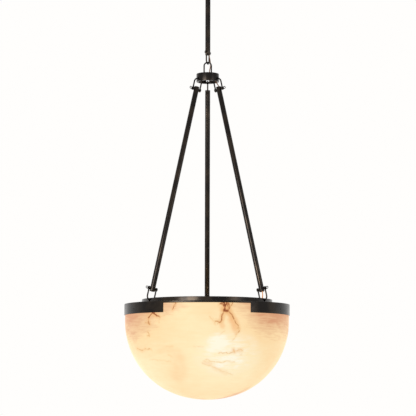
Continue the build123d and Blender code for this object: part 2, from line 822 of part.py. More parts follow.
with BuildPart() as bowl_set_screws:
    for angle in hanger_angles:
        direction = outward(angle, 1.0, 0.0)
        inner = outward(angle, bowl_radius - set_screw_reach, ring_top_z - set_screw_height)
        outer = outward(angle, ring_radius - set_screw_recess, ring_top_z - set_screw_height)
        with BuildSketch(Plane(origin=inner, z_dir=direction)):
            Circle(set_screw_diameter / 2)
        extrude(amount=(outer - inner).length)
        with BuildSketch(Plane(origin=outer, z_dir=direction)):
            RegularPolygon(set_screw_socket / 2, 6, major_radius=False)
        extrude(amount=-set_screw_diameter / 2, mode=Mode.SUBTRACT)
save(bowl_set_screws.part, "bowl_set_screws")

# ---------------------------------------------------------------- lamp cluster
with BuildPart() as lamp_spider:
    with BuildSketch(Plane.XY.offset(spider_under_z)):
        Circle(spider_disc_radius)
        with PolarLocations(spider_reach / 2, hanger_count, first_hanger_angle):
            Rectangle(spider_reach, spider_arm_width)
        with PolarLocations(spider_screw_radius, hanger_count, first_hanger_angle):
            Circle(spider_screw_diameter / 2 + fit_gap, mode=Mode.SUBTRACT)
        Circle(nipple_diameter / 2 + nipple_clearance, mode=Mode.SUBTRACT)
    extrude(amount=spider_thickness)
save(lamp_spider.part, "lamp_spider")

spider_spots = []
for angle in hanger_angles:
    spot = outward(angle, spider_screw_radius, 0.0)
    spider_spots.append((spot.X, spot.Y))
save(
    make_pan_screws(
        Plane.XY.offset(ring_top_z),
        spider_spots,
        spider_screw_diameter,
        ring_thickness + spider_thickness + spider_screw_tail,
    ),
    "spider_screws",
)

with BuildPart() as cluster_pipe:
    with BuildSketch(Plane.XY.offset(cup_top_z)):
        Circle(pipe_diameter / 2)
        Circle(nipple_diameter / 2 + nipple_clearance, mode=Mode.SUBTRACT)
    extrude(amount=pipe_length)
save(cluster_pipe.part, "cluster_pipe")


def on_lamp(angle, distance):
    """A plane square to a lamp's axis, this far out from the cup's cone, with Z outwards."""
    tilt = radians(lamp_tilt)
    return Plane(
        origin=outward(
            angle,
            cone_middle_radius + distance * sin(tilt),
            cone_middle_z - distance * cos(tilt),
        ),
        x_dir=outward(angle, 0.0, 0.0, 1.0),
        z_dir=outward(angle, sin(tilt), -cos(tilt)),
    )


def cup_section(wall):
    """Half of the cup's section, set in from its outside by a wall's thickness."""
    tilt = radians(lamp_tilt)
    cone_in = wall * sin(tilt)
    cone_up = wall * cos(tilt)
    shoulder_z = cup_cone_z + cone_up - (wall - cone_in) * tan(tilt)
    foot_radius = cup_bottom_radius - cone_in + (wall - cone_up) / tan(tilt)
    with BuildSketch(Plane.XZ) as section:
        with BuildLine():
            Polyline(
                (0, cup_top_z - wall),
                (cup_radius - wall, cup_top_z - wall),
                (cup_radius - wall, shoulder_z),
                (foot_radius, cup_bottom_z + wall),
                (0, cup_bottom_z + wall),
                close=True,
            )
        make_face()
    return section.sketch


with BuildPart() as cluster_cup:
    add(cup_section(0.0))
    revolve(axis=Axis.Z)
    add(cup_section(cup_wall))
    revolve(axis=Axis.Z, mode=Mode.SUBTRACT)
    with BuildSketch(Plane.XY.offset(cup_top_z)):
        Circle(nipple_diameter / 2 + nipple_clearance)
    extrude(amount=-cup_wall, mode=Mode.SUBTRACT)
    for angle in lamp_angles:
        with BuildSketch(on_lamp(angle, -cup_wall)):
            Circle(nipple_nut_size / 2 + nut_seat_play)
        extrude(amount=-nipple_nut_height, mode=Mode.SUBTRACT)
        with BuildSketch(on_lamp(angle, -cup_wall * 2)):
            Circle(nipple_diameter / 2 + nipple_clearance)
        extrude(amount=cup_wall * 3, mode=Mode.SUBTRACT)
save(cluster_cup.part, "cluster_cup")

nipple_top_z = ring_under_z + nipple_nut_height + nipple_tail
nipple_bottom_z = cup_top_z - cup_wall - nipple_nut_height - nipple_tail
with BuildPart() as cluster_nipple:
    with BuildSketch(Plane.XY.offset(nipple_bottom_z)):
        Circle(nipple_diameter / 2)
        Circle(nipple_bore / 2, mode=Mode.SUBTRACT)
    extrude(amount=nipple_top_z - nipple_bottom_z)
save(cluster_nipple.part, "cluster_nipple")

nipple_nut = [(0, 0)], nipple_nut_size, nipple_nut_height, nipple_diameter / 2
with BuildPart() as cluster_nuts:
    add(make_nuts(Plane.XY.offset(ring_under_z), *nipple_nut))
    add(make_nuts(turned_over(Plane.XY.offset(cup_top_z - cup_wall)), *nipple_nut))
    for angle in lamp_angles:
        add(make_nuts(turned_over(on_lamp(angle, -cup_wall)), *nipple_nut))
save(cluster_nuts.part, "cluster_nuts")

arm_inner = -cup_wall - nipple_nut_height - nipple_tail
holder_floor = arm_length + holder_back
with BuildPart() as lamp_arms:
    for angle in lamp_angles:
        with BuildSketch(on_lamp(angle, arm_inner)):
            Circle(nipple_diameter / 2)
            Circle(nipple_bore / 2, mode=Mode.SUBTRACT)
        extrude(amount=holder_floor - fit_gap - arm_inner)
save(lamp_arms.part, "lamp_arms")


# ---------------------------------------------------------------- lampholders and bulbs
def make_lampholder(angle):
    """A ceramic lampholder whose back wall screws onto its arm."""
    with BuildPart() as holder:
        with BuildSketch(on_lamp(angle, arm_length)):
            Circle(holder_radius)
        extrude(amount=holder_length)
        fillet(holder.edges().filter_by(GeomType.CIRCLE), holder_edge)
        with BuildSketch(on_lamp(angle, holder_floor)):
            Circle(shell_radius + fit_gap)
        extrude(amount=holder_length, mode=Mode.SUBTRACT)
        with BuildSketch(on_lamp(angle, arm_length)):
            Circle(nipple_diameter / 2 + fit_gap)
        extrude(amount=holder_back, mode=Mode.SUBTRACT)
    return holder.part


def bulb_outline(plane, inset):
    """Half of a globe bulb's section: a neck, a taper that meets the globe, the globe."""
    neck = bulb_base_radius - inset
    globe = bulb_radius - inset
    centre = bulb_length - bulb_radius
    taper = bulb_base_length + bulb_neck
    slant = hypot(centre - taper, neck)
    meet = atan2(neck, taper - centre) - acos(globe / slant)
    with BuildSketch(plane) as section:
        with BuildLine():
            Line((0, bulb_base_length), (neck, bulb_base_length))
            Line((neck, bulb_base_length), (neck, taper))
            touch = (globe * sin(meet), centre + globe * cos(meet))
            Line((neck, taper), touch)
            ThreePointArc(
                touch,
                (globe * sin(meet / 2), centre + globe * cos(meet / 2)),
                (0, centre + globe),
            )
            Line((0, centre + globe), (0, bulb_base_length))
        make_face()
    return section.sketch


def make_bulb(angle):
    """The glass of a globe bulb."""
    tip = on_lamp(angle, holder_floor + bulb_seat)
    section = Plane(origin=tip.origin, x_dir=tip.x_dir, z_dir=-tip.y_dir)
    with BuildPart() as bulb:
        add(bulb_outline(section, 0.0))
        revolve(axis=Axis(tip.origin, tip.z_dir))
        add(bulb_outline(section, bulb_glass))
        revolve(axis=Axis(tip.origin, tip.z_dir), mode=Mode.SUBTRACT)
        with BuildSketch(on_lamp(angle, holder_floor + bulb_seat + bulb_base_length)):
            Circle(bulb_base_radius - bulb_glass)
        extrude(amount=bulb_glass, mode=Mode.SUBTRACT)
    return bulb.part


for number, angle in enumerate(lamp_angles, start=1):
    save(make_lampholder(angle), f"lampholder_{number}")
    save(make_bulb(angle), f"bulb_{number}")

with BuildPart() as lampholder_contacts:
    for angle in lamp_angles:
        with BuildSketch(on_lamp(angle, holder_floor + shell_rise)):
            Circle(shell_radius)
            Circle(shell_radius - shell_wall, mode=Mode.SUBTRACT)
        extrude(amount=shell_length)
        with BuildSketch(on_lamp(angle, holder_floor)):
            Circle(contact_foot_radius)
        extrude(amount=contact_foot)
        with BuildSketch(on_lamp(angle, holder_floor)):
            Circle(contact_radius)
        extrude(amount=bulb_seat - fit_gap)
save(lampholder_contacts.part, "lampholder_contacts")

with BuildPart() as bulb_bases:
    for angle in lamp_angles:
        tip = on_lamp(angle, holder_floor + bulb_seat)
        with BuildSketch(Plane(origin=tip.origin, x_dir=tip.x_dir, z_dir=-tip.y_dir)):
            with BuildLine():
                Polyline(
                    (0, 0),
                    (bulb_base_radius / 3, 0),
                    (bulb_base_radius / 3, bulb_base_length / 12),
                    (bulb_base_radius, bulb_base_length / 3),
                    (bulb_base_radius, bulb_base_length),
                    (0, bulb_base_length),
                    close=True,
                )
            make_face()
        revolve(axis=Axis(tip.origin, tip.z_dir))
save(bulb_bases.part, "bulb_bases")

# ---------------------------------------------------------------- wiring of the lamps
cable_on_arm_z = ring_under_z + cable_radius + fit_gap * 2
cable_end_z = nipple_bottom_z - cable_radius * 2
lead_radius = lead_diameter / 2
lead_spread = (lead_radius + fit_gap) / sin(pi / lamp_count)
with BuildPart() as lamp_wiring:
    add(
        cable_tube(
            "lamp_wiring",
            [
                on_hanger(cable_angle, hanger_length - rod_mouth, cable_beside_pin).origin,
                on_hanger(cable_angle, hanger_length - 22.0, cable_beside_pin).origin,
                outward(cable_angle, ring_bore_radius + 11.5, ring_top_z + 11.0, 6.5),
                outward(cable_angle, ring_bore_radius + 2.0, ring_top_z + 4.5, 5.5),
                outward(cable_angle, ring_bore_radius - 12.0, cable_on_arm_z, 2.5),
                outward(cable_angle, ring_bore_radius - 28.0, cable_on_arm_z),
                outward(cable_angle, 40.0, cable_on_arm_z),
                outward(cable_angle, 26.0, ring_top_z + 4.0),
                outward(cable_angle, 16.0, ring_top_z + 16.0),
                outward(cable_angle, 4.0, ring_top_z + 20.0),
                (0, 0, ring_top_z + 8.0),
                (0, 0, cable_end_z),
            ],
        )
    )
    for angle in lamp_angles:
        add(
            cable_tube(
                "lamp_lead",
                [
                    outward(angle, lead_spread, cable_end_z - lead_radius),
                    outward(angle, lead_spread * 2.5, cable_end_z - 3.0),
                    on_lamp(angle, arm_inner - 4.0).origin,
                    on_lamp(angle, holder_floor - fit_gap).origin,
                ],
                lead_diameter,
            )
        )
save(lamp_wiring.part, "lamp_wiring")

clip_channel = cable_diameter + clip_play
with BuildPart() as cable_clips:
    for radius in clip_radii:
        arm_top = upright(cable_angle, ring_under_z)
        with BuildSketch(square_to_pin(arm_top, offset=radius - clip_length / 2)):
            with Locations(((clip_channel + clip_wall) / 2, 0)):
                Rectangle(clip_channel + clip_wall, clip_channel + clip_wall * 2)
            with Locations((clip_channel / 2, 0)):
                Rectangle(clip_channel, clip_channel, mode=Mode.SUBTRACT)
        extrude(amount=clip_length)
save(cable_clips.part, "cable_clips")
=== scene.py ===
import json
import random
from math import acos, atan2, cos, degrees, hypot, pi, radians, sin, tan

import bmesh
import bpy
import numpy as np
from mathutils import Matrix, Vector


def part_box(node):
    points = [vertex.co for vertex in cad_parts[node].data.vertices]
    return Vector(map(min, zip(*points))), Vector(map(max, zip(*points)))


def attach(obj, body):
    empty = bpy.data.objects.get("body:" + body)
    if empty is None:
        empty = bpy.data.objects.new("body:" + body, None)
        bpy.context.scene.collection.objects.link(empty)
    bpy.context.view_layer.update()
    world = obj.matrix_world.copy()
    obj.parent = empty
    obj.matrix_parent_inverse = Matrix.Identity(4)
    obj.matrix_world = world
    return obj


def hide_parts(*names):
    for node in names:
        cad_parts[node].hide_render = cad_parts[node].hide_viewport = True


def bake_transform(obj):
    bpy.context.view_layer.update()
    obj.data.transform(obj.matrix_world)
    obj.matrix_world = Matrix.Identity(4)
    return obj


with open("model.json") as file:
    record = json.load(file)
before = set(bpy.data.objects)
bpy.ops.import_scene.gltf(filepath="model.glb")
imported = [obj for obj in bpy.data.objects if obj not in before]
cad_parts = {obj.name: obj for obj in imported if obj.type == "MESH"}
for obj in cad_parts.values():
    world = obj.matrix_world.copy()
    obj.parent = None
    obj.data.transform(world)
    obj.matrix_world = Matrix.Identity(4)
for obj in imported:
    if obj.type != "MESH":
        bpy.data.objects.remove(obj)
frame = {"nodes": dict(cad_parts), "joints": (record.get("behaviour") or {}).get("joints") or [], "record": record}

bl_info = {
    "name": "Alabaster Bowl Pendant",
    "version": (1, 0, 0),
    "blender": (4, 5, 0),
    "location": "View3D > Sidebar > Pendant",
    "description": "Dresses the alabaster bowl pendant piece by piece",
    "category": "Object",
}

MM = 0.001
HOLE_PLAY = 0.00005  # radial, round metal that goes through metal
EAR_BITE = 0.0012  # how far a leg reaches into its ear
EAR_EDGE = 0.0006
COLLAR_EDGE = 0.0004
COLLAR_BORE = 0.7  # of the pin's radius: the collar reaches into the pin
ARM_SCREW_PLAY = 0.0002
SOCKET_DEPTH = 0.0053  # how far the set screws reach into the stone
SOCKET_PLAY = 0.0003
CAP_SEGMENTS = 128
FINE_ROW, COARSE_ROW = 0.003, 0.006  # rows of faces outside and inside the stone
BOW_SHARE = 0.999  # of half the width: the two bends of a bow just don't meet
Z_TO_X = (0.0, pi / 2, 0.0)
JOINTS = {joint["name"]: joint for joint in frame["joints"]}
SLOT_OF_NODE = {part["node"]: part["material_slot"] for part in frame["record"]["subparts"]}
HANGERS = ("back", "left", "right")
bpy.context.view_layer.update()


# ---------------------------------------------------------------- places from the frame
def low(node):
    """The lowest height of a CAD node."""
    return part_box(node)[0][2]


def high(node):
    """The highest height of a CAD node."""
    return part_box(node)[1][2]


def joint_place(name):
    """Where a joint stands."""
    return Vector(JOINTS[name]["pos_m"])


def joint_line(name):
    """The direction of a joint's axis."""
    return Vector(JOINTS[name]["axis"]).normalized()


def place(origin, x_line, z_line):
    """The matrix of a local frame with this X and this Z."""
    x_line, z_line = Vector(x_line).normalized(), Vector(z_line).normalized()
    y_line = z_line.cross(x_line)
    turn = Matrix((x_line, y_line, z_line)).transposed().to_4x4()
    return Matrix.Translation(Vector(origin)) @ turn


def outward(angle, radius, z, sideways=0.0):
    """A point at a radius and a height, sideways of the line that runs out at the angle."""
    a = radians(angle)
    return Vector(
        (radius * cos(a) - sideways * sin(a), radius * sin(a) + sideways * cos(a), z)
    )


RING_TOP = low("hanging_ring")
RING_UNDER = high("lamp_spider")
RIM = high("alabaster_bowl")
HUB_TOP = high("hub")
HUB_BOTTOM = low("hub")
CANOPY_FACE = low("canopy")
STEM_TOP, STEM_BOTTOM = high("stem"), low("stem")
PIN_LINE = joint_line("stem_swing")
UP, DOWN = Vector((0, 0, 1)), Vector((0, 0, -1))


def hanger_angle(name):
    """Where a hanger stands round the fixture, in degrees."""
    line = joint_line(f"{name}_hanger_swing")
    return degrees(atan2(line.y, line.x))


def on_hanger(name, distance, sideways=0.0):
    """A place on a hanger, this far down from its hook: X along its pins, Z up its line."""
    pin_line = joint_line(f"{name}_hanger_swing")
    level = Vector((pin_line.x, pin_line.y, 0)).normalized()
    lean = acos(min(1.0, pin_line.dot(level)))
    up_line = -level * sin(lean) + UP * cos(lean)
    at = place(joint_place(f"{name}_hanger_swing"), pin_line, up_line)
    return at @ Matrix.Translation((0, sideways, -distance))


# ---------------------------------------------------------------- sizes and colours
def size(name, value, description):
    """A length that a user may change."""
    return bpy.props.FloatProperty(
        name=name, description=description, default=value, min=0.0, unit="LENGTH", precision=5
    )


def angle(name, value, description):
    """An angle that a user may change, given in degrees."""
    return bpy.props.FloatProperty(
        name=name, description=description, default=radians(value), subtype="ANGLE"
    )


def share(name, value, description):
    """A value from 0 to 1 that a user may change."""
    return bpy.props.FloatProperty(
        name=name, description=description, default=value, min=0.0, max=1.0, subtype="FACTOR"
    )


def amount(name, value, description):
    """A plain number that a user may change."""
    return bpy.props.FloatProperty(name=name, description=description, default=value)


def colour(name, value, description):
    """A colour that a user may change."""
    return bpy.props.FloatVectorProperty(
        name=name, description=description, default=value, size=3, min=0, max=1, subtype="COLOR"
    )


class LinkSizes(bpy.types.PropertyGroup):
    """Sizes of the shackles, the bails and their eye pins"""

    wire: size("Wire", 0.0045, "Diameter of the wire of shackles and bails")
    width: size("Shackle width", 0.025, "Centre to centre of a shackle's legs")
    reach: size("Shackle reach", 0.036, "From the middle of the bow to the pin")
    bail_width: size("Bail width", 0.0225, "Centre to centre of a bail's legs")
    bail_reach: size("Bail reach", 0.037, "From the face to the middle of the crown")
    ear: size("Ear radius", 0.0056, "Outer radius of a shackle's ears")
    ear_thickness: size("Ear thickness", 0.0046, "Thickness of a shackle's ears")
    pin: size("Pin", 0.005, "Diameter of the eye pins")
    pin_tail: size("Pin tail", 0.0018, "How far a pin shows past the inner ear")
    collar: size("Collar radius", 0.0042, "Radius of a pin's collar")
    collar_thickness: size("Collar thickness", 0.0016, "Thickness of a pin's collar")
    eye: size("Eye radius", 0.0033, "Radius to the middle of an eye's wire")
    eye_wire: size("Eye wire", 0.0022, "Thickness of the eyes' wire")
    nut: size("Nut", 0.008, "Nuts of the bails, across flats")
    nut_height: size("Nut height", 0.004, "Height of the bails' nuts")


class TubeSizes(bpy.types.PropertyGroup):
    """Sizes of the stem and the three rods"""

    diameter: size("Diameter", 0.016, "Outside diameter of the tubes")
    wall: size("Wall", 0.002, "Wall of the tubes")
    end: size("End", 0.008, "From a pin to the end of its tube")
    lip: size("Lip", 0.0005, "Rounding of the tubes' ends")
    pin_hole: size("Pin hole", 0.00516, "Diameter of the cross holes")


class CapSizes(bpy.types.PropertyGroup):
    """Sizes of the hub and the canopy"""

    hub_radius: size("Hub radius", 0.0353, "Outside radius of the hub")
    hub_wall: size("Hub wall", 0.006, "Side wall of the hub")
    hub_top: size("Hub top", 0.005, "Thickness of the hub's top")
    hub_edge: size("Hub edge", 0.001, "Rounding of the hub's edges")
    hook_hole: size("Hook hole", 0.0045, "Radius of the holes for the hangers")
    hook_ride: size("Hook ride", 0.0008, "How far the hooks lie below the holes' middle")
    canopy_radius: size("Canopy radius", 0.07, "Outside radius of the canopy")
    canopy_wall: size("Canopy wall", 0.002, "Wall of the canopy")
    canopy_edge: size("Canopy edge", 0.003, "Rounding of the canopy's lower edge")
    cable_hole: size("Cable hole", 0.00305, "Radius of the hole for the cable's grommet")
    cable_x: size("Cable across", 0.0053, "Where the cable goes through, to the right")
    cable_y: size("Cable back", 0.0065, "Where the cable goes through, to the back")


class RingSizes(bpy.types.PropertyGroup):
    """Sizes of the bowl ring and of the hanging ring on it"""

    radius: size("Radius", 0.2542, "Outside radius of the bowl ring")
    width: size("Width", 0.0762, "From the ring's edge in to its bore")
    edge: size("Edge", 0.0007, "Rounding of the ring's upper edges")
    tab_thickness: size("Tab thickness", 0.0021, "Thickness of the tabs")
    tab_depth: size("Tab depth", 0.0339, "From the ring's top to the tabs' lower edge")
    tab_angle: angle("Tab angle", 58.5, "How far round each tab goes")
    upright_inset: size("Hanging ring inset", 0.0535, "From the ring's edge to the upright ring")
    upright_wall: size("Hanging ring wall", 0.0045, "Thickness of the upright ring")
    upright_height: size("Hanging ring height", 0.0148, "Height of the upright ring")
    hook_rise: size("Hook rise", 0.0079, "From the ring's top to the wires in its holes")
    hook_ride: size("Hook ride", 0.0006, "How far the hooks lie above the holes' middle")
    screw: size("Set screw", 0.0025, "Radius of the tabs' set screws")
    screw_drop: size("Set screw drop", 0.019, "From the ring's top to the set screws")
    spider_screw: size("Arm screw", 0.0025, "Radius of the screws of the lamp spider")
    spider_screw_inset: size("Arm screw inset", 0.068, "From the ring's edge to those screws")


class BowlSizes(bpy.types.PropertyGroup):
    """Sizes of the alabaster bowl"""

    radius: size("Radius", 0.2517, "Outside radius of the bowl")
    collar: size("Collar", 0.045, "Straight wall below the rim")
    side_offset: size("Side offset", 0.014, "From the axis out to the side arc's centre")
    side_sweep: angle("Side sweep", 74.0, "Side arc before the flatter base takes over")
    wall: size("Wall", 0.012, "Thickness of the stone")
    lip: size("Lip", 0.0015, "Rounding of the rim's edges")


class LampSizes(bpy.types.PropertyGroup):
    """Sizes of the three bulbs and their lampholders"""

    tilt: angle("Tilt", 45.0, "How far the lamps lean out from straight down")
    holder_radius: size("Holder radius", 0.019, "Outside radius of a lampholder")
    holder_length: size("Holder length", 0.044, "Length of a lampholder")
    holder_back: size("Holder back", 0.006, "Thickness of a lampholder's back wall")
    bore: size("Holder bore", 0.01395, "Radius of a lampholder's bore")
    bulb_radius: size("Bulb radius", 0.03, "Radius of a bulb's globe")
    bulb_length: size("Bulb length", 0.106, "From the tip of the base to the top of the globe")
    neck: size("Neck radius", 0.013, "Radius of a bulb's base and neck")
    base_length: size("Base length", 0.024, "Length of a bulb's metal base")
    neck_length: size("Neck length", 0.004, "Straight glass past the base")
    glass: size("Glass", 0.0012, "Thickness of a bulb's glass")
    power: amount("Power", 5.0, "Watts of light that each bulb gives in the render")


class CableSizes(bpy.types.PropertyGroup):
    """Sizes of the lamp cable"""

    diameter: size("Diameter", 0.003, "Diameter of the lamp cable")
    lead: size("Lead", 0.002, "Diameter of the leads to the lamps")
    slack: size("Slack", 0.00025, "Between the cable and a pin that it passes")


class Finishes(bpy.types.PropertyGroup):
    """Colours and finishes"""

    bronze: colour("Bronze", (0.013, 0.011, 0.0098), "Dark bronze of the fixture")
    bronze_rubbed: colour("Rubbed bronze", (0.045, 0.033, 0.023), "Where it is rubbed bright")
    bronze_gloss: share("Bronze roughness", 0.25, "How matt the bronze is")
    zinc: colour("Zinc", (0.50, 0.50, 0.49), "Hidden steel pieces")
    brass: colour("Brass", (0.72, 0.53, 0.24), "Contacts and bulb bases")
    ceramic: colour("Ceramic", (0.78, 0.76, 0.71), "Lampholders")
    rubber: colour("Rubber", (0.018, 0.018, 0.018), "Grommets and gasket")
    green: colour("Ground green", (0.03, 0.20, 0.05), "Ground screw")
    connector: colour("Connector", (0.62, 0.16, 0.02), "Wire connectors")
    lead: colour("Lead", (0.02, 0.02, 0.02), "Insulation of the supply leads")
    cable: colour("Cable", (0.20, 0.075, 0.014), "Amber lamp cable")
    stone: colour("Stone", (0.08, 0.065, 0.045), "Alabaster by reflected light")
    glow_hot: colour("Glow, brightest", (1.0, 0.94, 0.755), "Lit stone in front of a bulb")
    glow_near: colour("Glow, near", (1.0, 0.84, 0.52), "Lit stone near a bulb")
    glow_middle: colour("Glow, middle", (0.98, 0.71, 0.385), "Lit stone between the bulbs")
    glow_far: colour("Glow, far", (0.68, 0.315, 0.157), "Lit stone far from the bulbs")
    stain: colour("Stain", (0.88, 0.36, 0.10), "Orange stains beside the veins")
    vein_faint: colour("Faint vein", (0.84, 0.52, 0.22), "Thin tan veins")
    vein: colour("Vein", (0.42, 0.125, 0.03), "Rust-brown veins")
    vein_core: colour("Vein core", (0.085, 0.018, 0.004), "The veins' darkest parts")
    glass: colour("Glass", (0.92, 0.90, 0.84), "Frosted bulbs")
    light: colour("Light", (1.0, 0.83, 0.56), "Light of the bulbs")
    floor: colour("Floor", (0.80, 0.79, 0.77), "Floor under the fixture")


# ---------------------------------------------------------------- meshes
def blank_object(name, data):
    """A new object in the scene that isn't a piece yet."""
    thing = bpy.data.objects.new(name, data)
    bpy.context.scene.collection.objects.link(thing)
    return thing


def smooth(mesh, crease=32.0):
    """Smooth shading, with edges sharper than the crease left crisp."""
    mesh.shade_smooth()
    mesh.set_sharp_from_angle(angle=radians(crease))
    return mesh


def piece(name, mesh, body, node):
    """A finished piece that rides on a body and stands for a CAD node."""
    mesh.name = name
    thing = blank_object(name, mesh)
    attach(thing, body)
    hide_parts(node)
    return thing


def applied(thing):
    """The plain mesh of an object with its modifiers; the object is used up."""
    depsgraph = bpy.context.evaluated_depsgraph_get()
    mesh = bpy.data.meshes.new_from_object(thing.evaluated_get(depsgraph))
    bpy.data.objects.remove(thing)
    return mesh


def joined(meshes):
    """One mesh out of several, which are used up."""
    bm = bmesh.new()
    for mesh in meshes:
        bm.from_mesh(mesh)
    first = meshes[0]
    bm.to_mesh(first)
    bm.free()
    for mesh in meshes[1:]:
        bpy.data.meshes.remove(mesh)
    return first


def mesh_of(bm, finish, crease=32.0):
    """The mesh of a bmesh, which is used up, with its finish and smooth shading."""
    mesh = bpy.data.meshes.new("mesh")
    bm.to_mesh(mesh)
    bm.free()
    mesh.materials.append(finish)
    return smooth(mesh, crease)


def skin(bm, loops, closed):
    """Faces between each loop of a bmesh and the next."""
    for before, after in zip(loops, loops[1:] + (loops[:1] if closed else [])):
        for n in range(len(before)):
            m = (n + 1) % len(before)
            bm.faces.new((before[n], before[m], after[m], after[n]))


def turned(outline, segments, finish, at=None):
    """A closed mesh: a closed outline of (radius, height) points, turned about Z."""
    bm = bmesh.new()
    turns = [2 * pi * n / segments for n in range(segments)]
    rings = []
    for radius, height in outline:
        if radius < 1e-7:
            rings.append([bm.verts.new((0, 0, height))])
            continue
        rings.append(
            [bm.verts.new((radius * cos(a), radius * sin(a), height)) for a in turns]
        )
    for before, after in zip(rings, rings[1:] + rings[:1]):
        if len(before) == 1 and len(after) == 1:
            continue
        for n in range(segments):
            m = (n + 1) % segments
            corners = [before[n % len(before)], after[n % len(after)]]
            if len(after) > 1:
                corners.append(after[m])
            if len(before) > 1:
                corners.append(before[m])
            bm.faces.new(corners)
    bmesh.ops.recalc_face_normals(bm, faces=bm.faces)
    if at is not None:
        bm.transform(at)
    return mesh_of(bm, finish)


def arc(middle, radius, start, end, steps):
    """Points along an arc in a section, from one angle to another in degrees."""
    points = []
    for n in range(steps + 1):
        a = radians(start + (end - start) * n / steps)
        points.append((middle[0] + radius * cos(a), middle[1] + radius * sin(a)))
    return points


def line(start, end, steps):
    """Points along a straight part of a section, without its start."""
    return [
        (
            start[0] + (end[0] - start[0]) * n / steps,
            start[1] + (end[1] - start[1]) * n / steps,
        )
        for n in range(1, steps + 1)
    ]


def rod(start, direction, radius, length, segments=32):
    """A plain round cutter that starts at a point."""
    z_line = Vector(direction).normalized()
    x_line = z_line.orthogonal()
    outline = [(0, 0), (radius, 0), (radius, length), (0, length)]
    return turned(outline, segments, None, place(start, x_line, z_line))


def drilled(mesh, cutters):
    """The mesh with holes cut by other meshes, which are used up."""
    cutter = blank_object("cutter", joined(cutters))
    block = blank_object("block", mesh)
    cut = block.modifiers.new("Holes", "BOOLEAN")
    cut.object = cutter
    cut.operation = "DIFFERENCE"
    cut.solver = "EXACT"
    result = applied(block)
    bpy.data.objects.remove(cutter)
    return smooth(result)


# ---------------------------------------------------------------- node trees
def add(tree, kind, inputs=None, **settings):
    """A new node with its settings and inputs; an input may be another node's output."""
    node = tree.nodes.new(kind)
    for name, value in settings.items():
        setattr(node, name, value)
    for name, value in (inputs or {}).items():
        if isinstance(value, bpy.types.NodeSocket):
            tree.links.new(value, node.inputs[name])
        else:
            node.inputs[name].default_value = value
    return node


def math(tree, operation, a, b=0.0, c=0.0):
    """The result of a sum on two or three numbers."""
    kind = "ShaderNodeMath"
    return add(tree, kind, {0: a, 1: b, 2: c}, operation=operation).outputs[0]


def point(tree, x=0.0, y=0.0, z=0.0):
    """A vector out of three numbers."""
    return add(tree, "ShaderNodeCombineXYZ", {0: x, 1: y, 2: z}).outputs[0]


def new_tree(name, *labels):
    """An empty tree for a mesh, and its inputs by name: numbers, but for two."""
    tree = bpy.data.node_groups.new(name, "GeometryNodeTree")
    tree.interface.new_socket("Geometry", in_out="OUTPUT", socket_type="NodeSocketGeometry")
    labels = (*labels, "Finish")
    for label in labels:
        kind = {"Carrier": "Geometry", "Finish": "Material"}.get(label, "Float")
        tree.interface.new_socket(label, in_out="INPUT", socket_type=f"NodeSocket{kind}")
    entry = tree.nodes.new("NodeGroupInput")
    return tree, {label: entry.outputs[label] for label in labels}


def close_tree(tree, parts, finish):
    """Joins the parts, makes instances real, gives them their finish and ends the tree."""
    whole = tree.nodes.new("GeometryNodeJoinGeometry")
    for part in reversed(parts):
        tree.links.new(part, whole.inputs[0])
    real = add(tree, "GeometryNodeRealizeInstances", {"Geometry": whole.outputs[0]})
    inputs = {"Geometry": real.outputs[0], "Material": finish}
    dressed = add(tree, "GeometryNodeSetMaterial", inputs)
    end = tree.nodes.new("NodeGroupOutput")
    tree.links.new(dressed.outputs[0], end.inputs[0])


def grown(kind, settings, at=None, slot="dark_bronze", carrier=None):
    """The plain mesh that a tree gives with these settings and a slot's finish, at a place."""
    tree = the_tree(kind)
    settings = {**settings, "Finish": FINISHES[slot]}
    base = blank_object("carrier", carrier or bpy.data.meshes.new("carrier"))
    modifier = base.modifiers.new("Shape", "NODES")
    modifier.node_group = tree
    for item in tree.interface.items_tree:
        if item.in_out == "INPUT" and item.name in settings:
            modifier[item.identifier] = settings[item.name]
    mesh = applied(base)
    if at is not None:
        mesh.transform(at)
    return smooth(mesh)


def halved(tree, value):
    """Half of a number."""
    return math(tree, "DIVIDE", value, 2.0)


def moved(tree, part, offset, turn=(0.0, 0.0, 0.0)):
    """A part turned and moved inside a tree."""
    inputs = {"Geometry": part, "Translation": offset, "Rotation": turn}
    return add(tree, "GeometryNodeTransform", inputs).outputs[0]


def round_path(tree, radius, sides):
    """A round path about Z."""
    inputs = {"Radius": radius, "Resolution": sides}
    return add(tree, "GeometryNodeCurvePrimitiveCircle", inputs).outputs[0]


def filleted(tree, path, radius, count):
    """A path with its corners rounded."""
    inputs = {"Curve": path, "Count": count, "Radius": radius, "Limit Radius": True}
    return add(tree, "GeometryNodeFilletCurve", inputs, mode="POLY").outputs[0]


def swept(tree, path, profile, caps=False):
    """A profile swept along a path."""
    inputs = {"Curve": path, "Profile Curve": profile, "Fill Caps": caps}
    return add(tree, "GeometryNodeCurveToMesh", inputs).outputs[0]


def round_wire(tree, path, diameter, sides=20, caps=True):
    """A tube of round section along a path."""
    return swept(tree, path, round_path(tree, halved(tree, diameter), sides), caps)


def washer(tree, inner, outer, thickness, edge, sides=32):
    """A ring of rounded oblong section about Z, as an ear or a collar has."""
    inputs = {"Width": math(tree, "SUBTRACT", outer, inner), "Height": thickness}
    block = add(tree, "GeometryNodeCurvePrimitiveQuadrilateral", inputs).outputs[0]
    middle = halved(tree, math(tree, "ADD", outer, inner))
    return swept(tree, round_path(tree, middle, sides), filleted(tree, block, edge, 3))


def drum(tree, radius, depth, sides=28):
    """A round bar along Z, or a hexagonal one."""
    inputs = {"Vertices": sides, "Radius": radius, "Depth": depth}
    return add(tree, "GeometryNodeMeshCylinder", inputs).outputs[0]


